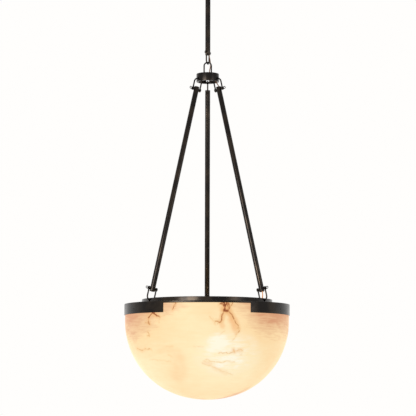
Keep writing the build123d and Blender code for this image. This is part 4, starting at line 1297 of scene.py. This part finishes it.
# What marks the stone, in degrees round from the front and millimetres below the ring's
# top. Veins and stains are (half width, depth, route).
VEINS = [
    (3.4, 1.0, [(11.0, 6.5), (11.8, 10.9), (12.0, 22.6), (11.6, 28.5)]),
    (3.0, 0.75, [(8.6, 11.7), (10.1, 12.2), (11.2, 16.8), (12.0, 22.6)]),
    (3.2, 0.9, [(13.1, 6.5), (12.8, 10.8), (12.3, 18.2)]),
    (3.0, 0.7, [(14.3, 6.5), (14.6, 12.2), (14.9, 19.5), (15.2, 25.9), (14.2, 30.1)]),
    (2.6, 0.55, [(17.2, 6.5), (16.4, 13.5), (15.4, 21.2)]),
    (6.0, 0.85, [(11.6, 29.4), (12.8, 30.2), (14.5, 29.5)]),
    (3.0, 0.62, [(11.4, 30.0), (10.5, 40.3), (9.8, 52.1), (9.8, 58.8), (9.3, 63.5)]),
    (2.4, 0.5, [(9.3, 63.5), (8.3, 64.7), (6.9, 62.1), (5.6, 61.9)]),
    (1.8, 0.22, [(1.6, 47.4), (3.4, 56.7), (4.7, 64.0), (6.1, 71.5)]),
    (3.4, 0.6, [(14.6, 30.1), (16.3, 38.2), (17.6, 46.9), (18.4, 55.1)]),
    (2.6, 0.6, [(19.1, 60.3), (20.2, 67.8), (21.4, 74.7)]),
    (2.0, 0.45, [(21.0, 81.2), (22.6, 82.3), (22.2, 89.3), (21.2, 95.2), (20.5, 99.3)]),
    (1.6, 0.2, [(20.5, 99.3), (19.4, 109.9), (18.0, 116.9)]),
    (3.2, 0.75, [(-38.2, 32.6), (-40.9, 38.2), (-42.8, 45.6), (-43.9, 47.9)]),
    (3.0, 0.85, [(-40.0, 32.4), (-37.4, 39.5), (-35.6, 45.3), (-34.5, 46.0)]),
    (1.8, 0.35, [(-45.8, 37.5), (-45.1, 44.7), (-43.9, 47.9)]),
    (2.4, 0.6, [(-43.9, 47.9), (-43.8, 56.2), (-43.2, 63.4), (-42.4, 67.6)]),
    (2.2, 0.5, [(-46.6, 62.4), (-44.6, 64.1), (-42.4, 67.6)]),
    (1.6, 0.25, [(-34.8, 47.2), (-34.3, 55.5), (-34.1, 64.4)]),
    (1.6, 0.25, [(-33.5, 55.0), (-32.7, 47.4), (-31.4, 44.0), (-30.0, 44.1)]),
    (1.8, 0.4, [(-45.5, 90.3), (-44.1, 97.0), (-43.2, 101.2)]),
    (1.8, 0.4, [(-46.4, 101.4), (-44.1, 103.4)]),
    (2.6, 0.65, [(-21.6, 6.5), (-22.7, 13.5), (-23.4, 22.3), (-23.8, 27.0)]),
    (2.0, 0.35, [(-20.5, 6.3), (-21.5, 16.5)]),
    (1.8, 0.34, [(9.0, 154.4), (12.8, 154.6), (16.6, 153.9), (19.3, 152.3), (21.1, 150.5)]),
    (3.0, 0.3, [(19.4, 143.3), (20.3, 148.8)]),
    (2.6, 0.24, [(22.9, 146.9), (24.7, 142.2), (26.9, 146.1)]),
    (1.7, 0.24, [(-0.7, 173.1), (4.0, 177.1), (8.9, 179.9), (13.7, 180.1), (22.5, 180.1)]),
    (2.2, 0.15, [(-3.9, 182.7), (4.3, 192.2), (9.5, 200.2), (14.5, 208.8), (24.0, 217.4)]),
    (1.5, 0.15, [(-9.2, 134.4), (-5.6, 135.8), (-2.5, 136.1)]),
    (1.6, 0.18, [(-51.6, 172.1), (-46.0, 171.2), (-42.3, 176.4), (-37.8, 174.3)]),
    (1.6, 0.18, [(-37.8, 174.3), (-33.5, 179.4), (-29.8, 179.8)]),
    (2.0, 0.14, [(-30.7, 134.9), (-25.0, 134.3)]),
    (2.0, 0.16, [(-30.3, 159.4), (-27.5, 165.9)]),
    (1.8, 0.2, [(-45.0, 141.6), (-45.0, 145.1)]),
    (1.8, 0.18, [(25.7, 158.7), (26.7, 158.6)]),
    (1.8, 0.15, [(7.9, 103.4), (9.6, 97.6), (11.9, 89.9)]),
]
STAINS = [
    (7, 1.0, [(12.3, 9.0), (13.4, 20.0), (13.0, 29.0)]),
    (10, 0.7, [(11.8, 10.9), (13.2, 24.0), (14.2, 13.7)]),
    (13, 0.95, [(11.7, 26.8), (13.8, 29.6)]),
    (10, 0.5, [(10.4, 46.2), (9.4, 65.0), (10.6, 75.4)]),
    (11, 0.6, [(15.3, 37.1), (17.4, 53.4)]),
    (16, 0.5, [(17.3, 54.6), (19.2, 69.1), (20.3, 82.4)]),
    (8, 0.4, [(20.2, 86.5), (20.2, 95.3)]),
    (8, 0.4, [(-39.8, 36.5), (-36.8, 43.4)]),
    (8, 0.25, [(-43.5, 52.7), (-43.2, 64.6)]),
    (7, 0.35, [(-22.3, 7.7), (-23.3, 23.5)]),
    (30, 0.2, [(-22.7, 168.3), (-23.0, 194.5), (-29.6, 223.6)]),
    (9, 0.22, [(-1.5, 180.1), (2.6, 187.0)]),
    (10, 0.18, [(6.0, 196.2), (17.6, 213.4)]),
    (9, 0.25, [(23.6, 145.7), (25.7, 145.6)]),
    (7, 0.35, [(19.3, 145.3), (21.1, 150.5)]),
    (12, 0.15, [(-36.8, 146.2), (-28.0, 146.1), (-21.6, 148.0)]),
]
# Hot spots in front of a bulb: (degrees, drop, half width, half height, strength), and the
# directions round the bowl in which the three bulbs' light is brightest.
HOT_SPOTS = [
    (8.5, 126.0, 46.0, 36.0, 1.0),
    (17.9, 166.6, 46.0, 15.0, 1.0),
    (10.0, 189.5, 24.0, 12.0, 0.9),
    (24.8, 191.1, 18.0, 11.0, 0.6),
    (3.7, 147.0, 34.0, 24.0, 0.7),
    (18.0, 155.0, 130.0, 80.0, 0.5),
]
LIGHT_WAYS = (4.0, 128.0, -124.0)
VEIN_BREAKS, VEIN_WANDER = 3, 0.14  # how often a run of a vein breaks, and how far aside
NO_VEIN = 60.0  # far past any vein, in its half widths
# How dim the stone is round the bowl, high up and low down, between the bulbs' directions.
SHADE = [
    (-180, 0.45, 0.30),
    (-124, 0.05, 0.05),
    (-65, 0.72, 0.05),
    (-30, 0.32, 0.15),
    (0, 0.0, 0.0),
    (12, 0.05, 0.0),
    (40, 0.55, 0.05),
    (65, 0.65, 0.60),
    (128, 0.05, 0.05),
    (180, 0.45, 0.30),
]


def jagged(route, draw):
    """A route with each run broken in two again and again, a little to one side."""
    for _ in range(VEIN_BREAKS):
        finer = [route[0]]
        for start, end in zip(route, route[1:]):
            run = end - start
            side = Vector((-run.y, run.x))
            finer += [(start + end) / 2 + side * draw.uniform(-VEIN_WANDER, VEIN_WANDER), end]
        route = finer
    return route


def other_veins(draw):
    """Veins and stains for the sides and the back, of the same kind as the front's."""
    veins, stains = [], []
    for middle in (92, 141, 196, 243):
        a, drop = middle + draw.uniform(-10, 10), draw.uniform(6.5, 34.0)
        stem = [(a, drop)]
        for _ in range(draw.randint(4, 5)):
            a += draw.uniform(-3.5, 3.5)
            drop += draw.uniform(8, 17)
            stem.append((a, drop))
        depth = draw.uniform(0.6, 0.9)
        veins.append((3.0, depth, stem))
        for fork in (stem[1], stem[2]):
            lean = draw.choice((-1, 1)) * draw.uniform(2, 4)
            branch = [fork, (fork[0] + lean, fork[1] + 9), (fork[0] + lean * 1.6, fork[1] + 24)]
            veins.append((2.2, depth * 0.6, branch))
        veins.append((4.4, depth * 0.9, [stem[1], stem[2]]))
        stains.append((11, 0.5, stem[:3]))
        stains.append((13, 0.35, stem[3:]))
    for middle in (78, 112, 160, 178, 222, 268, 290):
        a, drop = middle + draw.uniform(-8, 8), draw.uniform(80, 200)
        route = [(a, drop)]
        for _ in range(3):
            a += draw.uniform(3, 7)
            drop += draw.uniform(-5, 5)
            route.append((a, drop))
        veins.append((2.3, draw.uniform(0.2, 0.45), route))
        stains.append((14, draw.uniform(0.1, 0.22), route[:3]))
    return veins, stains


def mark_stone(mesh, surface_radius):
    """Writes on the bowl's mesh where it is veined, stained, bright and dim."""
    points = np.array([vertex.co for vertex in mesh.vertices])
    drop = (RING_TOP - points[:, 2]) / MM
    turn = np.degrees(np.arctan2(points[:, 0], -points[:, 1]))
    level = np.hypot(points[:, 0], points[:, 1]) / MM
    arc_scale = surface_radius(RIM) * pi / 180 / MM
    draw = random.Random(11)
    more_veins, more_stains = other_veins(draw)

    def on_stone(route):
        """A jagged route on the bowl's outside, in metres."""
        solid = []
        for spot in jagged([Vector((a * arc_scale, d)) for a, d in route], draw):
            a, z = radians(spot.x / arc_scale), RING_TOP - spot.y * MM
            radius = surface_radius(z)
            solid.append((radius * sin(a), -radius * cos(a), z))
        return np.array(solid)

    def runs_near(route):
        """For each run of a route: how far every point is from it, and its nearest spot."""
        solid = on_stone(route)
        for start, end in zip(solid, solid[1:]):
            run = end - start
            along = np.clip((points - start) @ run / max(run @ run, 1e-12), 0, 1)
            spot = start + along[:, None] * run
            yield np.linalg.norm(points - spot, axis=1), spot

    best = np.full(len(points), NO_VEIN)
    nearest = np.zeros_like(points)
    widths, depths = np.full(len(points), 2 * MM), np.zeros(len(points))
    for half_width, depth, route in VEINS + more_veins:
        for gap, spot in runs_near(route):
            score = gap / (half_width * MM) / (0.5 + depth)
            closer = score < best
            best[closer], nearest[closer] = score[closer], spot[closer]
            widths[closer], depths[closer] = half_width * MM, depth
    stain = np.zeros(len(points))
    for half_width, depth, route in STAINS + more_stains:
        for gap, _ in runs_near(route):
            soft = np.clip(1.25 - gap / (half_width * MM), 0, 1)
            stain = np.maximum(stain, depth * soft * soft * (3 - 2 * soft))

    hot = np.zeros(len(points))
    for way in LIGHT_WAYS:
        from_way = (turn - way + 180) % 360 - 180
        for a, spot_drop, half_width, half_height, strength in HOT_SPOTS:
            across = (from_way - a + LIGHT_WAYS[0]) * pi / 180 * level / half_width
            up = (drop - spot_drop) / half_height
            hot = np.maximum(hot, strength * np.clip(1 - np.hypot(across, up), 0, 1))
    way, high_up, low_down = np.array(SHADE).T
    lower = np.clip((drop - 120) / 70, 0, 1)
    shade = np.interp(turn, way, high_up) * (1 - lower) + np.interp(turn, way, low_down) * lower
    # Painted shade: the stone is dimmer towards the ring at the top and towards its foot.
    above = np.clip((130 - drop) / 110, 0, 1)
    below = np.clip((drop - 235) / 50, 0, 1)
    dim = shade + 0.62 * above + 0.5 * below - 0.15
    inside = level * MM < surface_radius(points[:, 2]) - 3 * MM

    for name, kind, values in (
        ("inside", "FLOAT", inside),
        ("vein", "FLOAT_VECTOR", nearest),
        ("vein_size", "FLOAT", widths),
        ("vein_depth", "FLOAT", depths),
        ("stain", "FLOAT", stain),
        ("hot", "FLOAT", hot),
        ("dim", "FLOAT", dim),
    ):
        layer = mesh.attributes.new(name, kind, "POINT")
        field = "vector" if kind == "FLOAT_VECTOR" else "value"
        layer.data.foreach_set(field, values.astype(np.float32).ravel())


class PENDANT_OT_bowl(bpy.types.Operator):
    """Makes the alabaster bowl and marks where its veins run"""

    bl_idname = "pendant.bowl"
    bl_label = "Alabaster bowl"

    def execute(self, context):
        s = context.scene.pendant_bowl
        rings = context.scene.pendant_rings
        mesh = turned(bowl_outline(s), 432, FINISHES["alabaster"])
        socket_z = RING_TOP - rings.screw_drop
        socket = rings.screw + SOCKET_PLAY
        cutters = outward_holes(s.radius - SOCKET_DEPTH, socket_z, socket, 20 * MM)
        mesh = drilled(mesh, cutters)

        rows = bowl_curve(s, 0.0, FINE_ROW)
        heights = [z for _, z in rows] + [RIM]
        radii = [r for r, _ in rows] + [s.radius]

        def surface_radius(z):
            return np.interp(z, heights, radii)

        mark_stone(mesh, surface_radius)
        piece("bowl_stone", mesh, "bowl", "alabaster_bowl")
        return {"FINISHED"}


# ---------------------------------------------------------------- lamps
BULB_SEAT = 0.012  # from a lampholder's back wall to the tip of its bulb


def lamp_place(number):
    """A lampholder's back end, with Z along the lamp."""
    node = f"lampholder_{number}"
    corner_low, corner_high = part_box(node)
    middle = (Vector(corner_low) + Vector(corner_high)) / 2
    level = Vector((middle.x, middle.y, 0)).normalized()
    s = bpy.context.scene.pendant_lamps
    lamp_line = level * sin(s.tilt) + DOWN * cos(s.tilt)
    back = middle - lamp_line * s.holder_length / 2
    return place(back, UP.cross(level), lamp_line)


def holder_outline(s):
    """The closed section of a lampholder, with a groove near its back."""
    edge, groove, cord_hole = 0.001, 0.0008, 0.00505
    radius, length = s.holder_radius, s.holder_length
    return (
        [(cord_hole, 0.0)]
        + arc((radius - edge, edge), edge, -90, 0, 4)
        + [(radius, length * 0.18), (radius - groove, length * 0.2)]
        + [(radius - groove, length * 0.26), (radius, length * 0.28)]
        + arc((radius - edge, length - edge), edge, 0, 90, 4)
        + arc((s.bore + edge / 2, length - edge / 2), edge / 2, 90, 180, 3)
        + [(s.bore, s.holder_back), (cord_hole, s.holder_back)]
    )


def bulb_outline(s):
    """The closed section of a bulb's glass."""
    taper = s.base_length + s.neck_length
    globe = s.bulb_length - s.bulb_radius

    def shell(inset):
        """The bulb's section from its neck to the top of its globe."""
        neck, ball = s.neck - inset, s.bulb_radius - inset
        slant = hypot(globe - taper, neck)
        meet = atan2(neck, taper - globe) - acos(ball / slant)
        points = [(neck, s.base_length), (neck, taper)]
        points += arc((0.0, globe), ball, 90 - degrees(meet), 90, 22)
        points[-1] = (0.0, globe + ball)
        return points

    return shell(0.0) + list(reversed(shell(s.glass)))


def make_lamp(number):
    """A lampholder, the glass of its bulb and the light in it."""
    s = bpy.context.scene.pendant_lamps
    at = lamp_place(number)
    mesh = turned(holder_outline(s), 64, FINISHES["white_ceramic"], at)
    piece(f"holder_{number}", mesh, "bowl", f"lampholder_{number}")
    tip = at @ Matrix.Translation((0, 0, s.holder_back + BULB_SEAT))
    mesh = turned(bulb_outline(s), 64, FINISHES["frosted_glass"], tip)
    piece(f"globe_{number}", mesh, "bowl", f"bulb_{number}").visible_shadow = False
    lamp = bpy.data.lights.new(f"glow_{number}", "POINT")
    lamp.energy = s.power
    lamp.shadow_soft_size = s.bulb_radius * 0.8
    lamp.color = bpy.context.scene.pendant_finishes.light
    shine = blank_object(f"glow_{number}", lamp)
    shine.location = tip @ Vector((0, 0, s.bulb_length - s.bulb_radius))


class PENDANT_OT_lamps(bpy.types.Operator):
    """Makes the lampholders, the glass of the bulbs and the light in them"""

    bl_idname = "pendant.lamps"
    bl_label = "Lamps"

    def execute(self, context):
        for number in (1, 2, 3):
            make_lamp(number)
        return {"FINISHED"}


# ---------------------------------------------------------------- cables
CABLE_SIDES = 14
CABLE_CREASE = 50.0
SEAM = 0.4 * MM  # between two lengths of the cable


def soft_line(points):
    """The points of a smooth line that a cable follows."""
    data = bpy.data.curves.new("route", "CURVE")
    data.dimensions = "3D"
    spline = data.splines.new("NURBS")
    spline.points.add(len(points) - 1)
    for knot, at in zip(spline.points, points):
        knot.co = (*at, 1.0)
    spline.order_u = 3
    spline.use_endpoint_u = True
    spline.resolution_u = 10
    route = blank_object("route", data)
    mesh = applied(route)
    path = [vertex.co.copy() for vertex in mesh.vertices]
    bpy.data.meshes.remove(mesh)
    return path


def cable_mesh(path, diameter, finish):
    """A round cable along the points of a smooth line, closed at both ends."""
    bm = bmesh.new()
    across = (path[1] - path[0]).orthogonal().normalized()
    turns = [2 * pi * n / CABLE_SIDES for n in range(CABLE_SIDES)]
    loops = []
    for n, at in enumerate(path):
        ahead = path[min(n + 1, len(path) - 1)] - path[max(n - 1, 0)]
        ahead.normalize()
        across = (across - ahead * across.dot(ahead)).normalized()
        beside = ahead.cross(across)
        ways = [across * cos(a) + beside * sin(a) for a in turns]
        loops.append([bm.verts.new(at + way * diameter / 2) for way in ways])
    skin(bm, loops, closed=False)
    bm.faces.new(reversed(loops[0]))
    bm.faces.new(loops[-1])
    bmesh.ops.recalc_face_normals(bm, faces=bm.faces)
    return mesh_of(bm, finish, CABLE_CREASE)


def bent_piece(name, mesh, node, start, end):
    """A piece between two bodies, put where it lies and standing for a CAD node."""
    mesh.name = name
    thing = blank_object(name, mesh)
    tuple(start)
    tuple(end)
    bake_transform(thing)
    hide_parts(node)


def cable_of(route, slot="amber_cable"):
    """The mesh of the lamp cable along a route."""
    return cable_mesh(soft_line(route), bpy.context.scene.pendant_cables.diameter, FINISHES[slot])


def beside_pin():
    """From a pin's middle to the middle of the cable that passes it."""
    s = bpy.context.scene.pendant_cables
    return bpy.context.scene.pendant_links.pin / 2 + s.slack + s.diameter / 2


def stem_mouth():
    """From the stem's end in to the end of the slack cable."""
    return bpy.context.scene.pendant_tubes.end + bpy.context.scene.pendant_cables.diameter / 2


def rod_mouth():
    """From a hook of the right hanger to the end of the cable that runs into its rod."""
    return bpy.context.scene.pendant_links.reach - 4 * MM


def in_stem(z):
    """A point beside the pins in the stem's bore."""
    return outward(degrees(atan2(PIN_LINE.y, PIN_LINE.x)) + 90, beside_pin(), z)


def in_line(z, x=0.0, y=0.0):
    """A point in line with the grommets, or this far from there in millimetres."""
    caps = bpy.context.scene.pendant_caps
    return Vector((caps.cable_x, caps.cable_y, 0)) + Vector((x * MM, y * MM, z))


def on_rod(distance, inward=0.0):
    """A point beside the pins in the right rod's bore, or nearer to its middle."""
    return on_hanger("right", distance, beside_pin() - inward).to_translation()


def to_right(radius, z, rise=0.0, sideways=0.0):
    """A point towards the right hanger, in millimetres but for the height it rises from."""
    return outward(hanger_angle("right"), radius * MM, z + rise * MM, sideways * MM)


def make_slack_cable(name, stem_end, face, way):
    """The slack cable between the stem and a face, made in two lengths."""
    route = [
        in_stem(stem_end - way * stem_mouth()),
        in_stem(stem_end + way * 2 * MM),
        in_line(stem_end + way * 13 * MM, 1.6, -4.9),
        in_line(stem_end + way * 26 * MM, 3.4, -0.5),
        in_line(stem_end + way * 39 * MM, 2.6, 1.5),
        in_line(face - way * 11 * MM),
        in_line(face - way * 2 * MM),
    ]
    path = soft_line(route)
    half = next(n for n, at in enumerate(path) if (at.z - stem_end) * way > 22 * MM)
    diameter, amber = bpy.context.scene.pendant_cables.diameter, FINISHES["amber_cable"]
    stem_part = cable_mesh(path[: half + 1], diameter, amber)
    face_part = cable_mesh(path[half:], diameter, amber)
    near, middle, far = (Vector((0, 0, stem_end + way * rise * MM)) for rise in (0, 20, 24))
    last = Vector((0, 0, face - way * 12 * MM))
    node, shackle = f"{name}_cable_loop", f"{name}_shackle"
    bent_piece(f"cable_{name}_stem", stem_part, node, near, middle)
    bent_piece(f"cable_{name}_face", face_part, node, far, last)


def make_still_cables():
    """The cable in the stem, the right rod and the canopy, which keeps its shape."""
    gap = stem_mouth() + SEAM
    mesh = cable_of([in_stem(STEM_TOP - gap), in_stem(STEM_BOTTOM + gap)])
    piece("cable_stem", mesh, "stem", "stem_cable")
    bottom = hanger_length("right") - rod_mouth()
    mesh = cable_of([on_rod(rod_mouth() + SEAM), on_rod(bottom - SEAM)])
    piece("cable_rod", mesh, "right_hanger", "rod_cable")
    split_z = high("canopy_cable") - 6.0 * MM
    route = [
        in_line(CANOPY_FACE - 2 * MM),
        in_line(split_z - 1.5 * MM),
        in_line(split_z + 3 * MM, -1.0, -9.0),
        Vector((1 * MM, -9 * MM, split_z + 2 * MM)),
        Vector((0, -20 * MM, split_z)),
    ]
    piece("cable_canopy", cable_of(route), "canopy", "canopy_cable")


def make_hub_cable():
    """The cable that bends from the hub's grommet into the right rod."""
    route = [
        in_line(HUB_TOP + 2 * MM),
        in_line(HUB_TOP - bpy.context.scene.pendant_caps.hub_top - 5 * MM),
        to_right(17, HUB_BOTTOM, 8, 6.6),
        to_right(27, HUB_BOTTOM, -2, 5.2),
        on_rod(rod_mouth() - 7 * MM),
        on_rod(rod_mouth()),
    ]
    bent_piece("cable_hub", cable_of(route), "hub_cable", route[2], route[4])


def make_lamp_wiring():
    """The lit cable over the ring and along an arm to the lamps, and their three leads."""
    s, rings = bpy.context.scene.pendant_cables, bpy.context.scene.pendant_rings
    bore = (rings.radius - rings.width) / MM
    on_arm = RING_UNDER + s.diameter / 2 + 0.1 * MM
    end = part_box("cluster_nipple")[0][2] - s.diameter
    length, inward = hanger_length("right"), 1.6 * MM
    route = [
        on_rod(length - rod_mouth(), inward),
        on_rod(length - 22 * MM, inward),
        to_right(bore + 11.5, RING_TOP, 11, 6.5),
        to_right(bore + 2, RING_TOP, 4.5, 5.5),
        to_right(bore - 12, on_arm, 0, 2.5),
        to_right(bore - 28, on_arm),
        to_right(bore - 60, on_arm),
        to_right(70, on_arm),
        to_right(40, on_arm),
        to_right(26, RING_TOP, 4),
        to_right(16, RING_TOP, 16),
        to_right(4, RING_TOP, 20),
        Vector((0, 0, RING_TOP + 8 * MM)),
        Vector((0, 0, end)),
    ]
    meshes = [cable_of(route, "lit_cable")]
    for number in (1, 2, 3):
        at = lamp_place(number)
        level = at.to_3x3() @ Vector((0, 0, 1))
        lamp_angle = degrees(atan2(level.y, level.x))
        floor = at @ Vector((0, 0, bpy.context.scene.pendant_lamps.holder_back - 0.05 * MM))
        route = [
            outward(lamp_angle, 1.3 * MM, end - s.lead / 2),
            outward(lamp_angle, 3.2 * MM, end - 3 * MM),
            at @ Vector((0, 0, -30 * MM)),
            floor,
        ]
        meshes.append(cable_mesh(soft_line(route), s.lead, FINISHES["lit_cable"]))
    piece("wiring_lamps", smooth(joined(meshes), CABLE_CREASE), "bowl", "lamp_wiring")


class PENDANT_OT_cables(bpy.types.Operator):
    """Makes the lamp cable from the canopy down to the three lamps"""

    bl_idname = "pendant.cables"
    bl_label = "Cables"

    def execute(self, context):
        make_slack_cable("upper", STEM_TOP, CANOPY_FACE, 1)
        make_slack_cable("lower", STEM_BOTTOM, HUB_TOP, -1)
        make_still_cables()
        make_hub_cable()
        make_lamp_wiring()
        return {"FINISHED"}


# ---------------------------------------------------------------- floor, light and camera
# The camera that fits the edges of the fixture: its place in metres, its turns in radians.
CAMERA_PLACE = (0.0021, -5.331, -1.4551)
CAMERA_LENS, CAMERA_SENSOR = 149.83, 36.0  # in millimetres
CAMERA_TILT = 0.1091
CAMERA_ROLL = 0.0029
FLOOR_HEIGHT = -2.4
FLOOR_REACH = 6.0
# The lights: name, place, target, width, height, watts and colour.
PANELS = (
    ("key", (-2.25, -3.55, -0.8), (0, 0, -1.0), 2.2, 1.5, 160.0, (1.0, 0.95, 0.88)),
    ("fill", (3.0, -2.2, -0.6), (0, 0, -1.1), 1.6, 1.6, 18.0, (0.95, 0.97, 1.0)),
)


def seen(tree):
    """1 where the camera, a reflection or a look through glass sees the background."""
    rays = tree.nodes.new("ShaderNodeLightPath").outputs
    mirrored = math(tree, "MAXIMUM", rays["Is Glossy Ray"], rays["Is Transmission Ray"])
    return math(tree, "MAXIMUM", rays["Is Camera Ray"], mirrored)


def make_floor():
    """A pale floor far below the fixture."""
    c = bpy.context.scene.pendant_finishes
    finish, tree = new_finish("floor_paper")
    where = own_space(tree)
    clouds = noise(tree, where, 1.5, 3.0)
    tint = mixed(tree, clouds, c.floor, toned(c.floor, 0.96))
    paper = add(tree, "ShaderNodeBsdfPrincipled", {"Base Color": tint, "Roughness": 0.85})
    pale = add(
        tree,
        "ShaderNodeEmission",
        {"Color": (1.0, 0.99, 0.97, 1.0), "Strength": math(tree, "MULTIPLY", seen(tree), 0.5)},
    )
    both = add(tree, "ShaderNodeAddShader", {0: paper.outputs[0], 1: pale.outputs[0]})
    to_surface(tree, both.outputs[0])
    bm = bmesh.new()
    bmesh.ops.create_grid(bm, x_segments=8, y_segments=8, size=FLOOR_REACH)
    bmesh.ops.translate(bm, verts=bm.verts, vec=(0, 0, FLOOR_HEIGHT))
    mesh = bpy.data.meshes.new("floor")
    bm.to_mesh(mesh)
    bm.free()
    mesh.materials.append(finish)
    blank_object("floor", mesh)


def make_sky():
    """A bright background that gives less light than it shows."""
    world = bpy.data.worlds.new("Studio")
    world.use_nodes = True
    bpy.context.scene.world = world
    tree = world.node_tree
    tree.nodes.clear()
    output = tree.nodes.new("ShaderNodeOutputWorld")
    level = spread(tree, seen(tree), 0.0, 1.0, 0.25, 1.0)
    sky = add(
        tree, "ShaderNodeBackground", {"Color": (1.0, 0.99, 0.975, 1.0), "Strength": level}
    )
    tree.links.new(sky.outputs[0], output.inputs["Surface"])


def make_lights():
    """The two lights in front of the fixture."""
    for name, at, target, width, height, watts, tint in PANELS:
        lamp = bpy.data.lights.new(name, "AREA")
        lamp.shape = "RECTANGLE"
        lamp.size, lamp.size_y = width, height
        lamp.energy = watts
        lamp.color = tint
        thing = blank_object(name, lamp)
        view = Vector(target) - Vector(at)
        turn = view.to_track_quat("-Z", "Y").to_matrix().to_4x4()
        thing.matrix_world = Matrix.Translation(Vector(at)) @ turn


def make_camera():
    """The camera, turned and rolled as its constants say."""
    camera = bpy.data.cameras.new("camera")
    camera.lens = CAMERA_LENS
    camera.sensor_width = CAMERA_SENSOR
    camera.clip_end = 100.0
    thing = blank_object("camera", camera)
    tilt = Matrix.Rotation(pi / 2 + CAMERA_TILT, 4, "X")
    roll = Matrix.Rotation(CAMERA_ROLL, 4, "Z")
    thing.matrix_world = Matrix.Translation(CAMERA_PLACE) @ tilt @ roll
    bpy.context.scene.camera = thing


class PENDANT_OT_stage(bpy.types.Operator):
    """Makes the floor, the lights, the sky and the camera"""

    bl_idname = "pendant.stage"
    bl_label = "Stage"

    def execute(self, context):
        make_floor()
        make_sky()
        make_lights()
        make_camera()
        context.scene.view_settings.view_transform = "Standard"
        return {"FINISHED"}


class PENDANT_PT_panel(bpy.types.Panel):
    """Sizes, colours and steps of the pendant"""

    bl_idname = "PENDANT_PT_panel"
    bl_label = "Alabaster Bowl Pendant"
    bl_space_type = "VIEW_3D"
    bl_region_type = "UI"
    bl_category = "Pendant"

    def draw(self, context):
        for step in STEPS:
            self.layout.operator(step.bl_idname)
        for name, group in GROUPS.items():
            box = self.layout.box()
            box.label(text=group.__doc__)
            owner = getattr(context.scene, name)
            for key in group.__annotations__:
                box.prop(owner, key)


GROUPS = {
    "pendant_links": LinkSizes,
    "pendant_tubes": TubeSizes,
    "pendant_caps": CapSizes,
    "pendant_rings": RingSizes,
    "pendant_bowl": BowlSizes,
    "pendant_lamps": LampSizes,
    "pendant_cables": CableSizes,
    "pendant_finishes": Finishes,
}
STEPS = (
    PENDANT_OT_finishes,
    PENDANT_OT_links,
    PENDANT_OT_tubes,
    PENDANT_OT_caps,
    PENDANT_OT_rings,
    PENDANT_OT_bowl,
    PENDANT_OT_lamps,
    PENDANT_OT_cables,
    PENDANT_OT_stage,
)


def register():
    """Registers the groups, the steps and the panel."""
    for name, group in GROUPS.items():
        bpy.utils.register_class(group)
        setattr(bpy.types.Scene, name, bpy.props.PointerProperty(type=group))
    for step in STEPS:
        bpy.utils.register_class(step)
    bpy.utils.register_class(PENDANT_PT_panel)


def unregister():
    """Takes them out again."""
    bpy.utils.unregister_class(PENDANT_PT_panel)
    for step in reversed(STEPS):
        bpy.utils.unregister_class(step)
    for name, group in GROUPS.items():
        delattr(bpy.types.Scene, name)
        bpy.utils.unregister_class(group)


def main():
    """Makes the whole fixture."""
    register()
    for step in STEPS:
        group, name = step.bl_idname.split(".")
        getattr(getattr(bpy.ops, group), name)()
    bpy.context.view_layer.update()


if __name__ == "__main__":
    main()
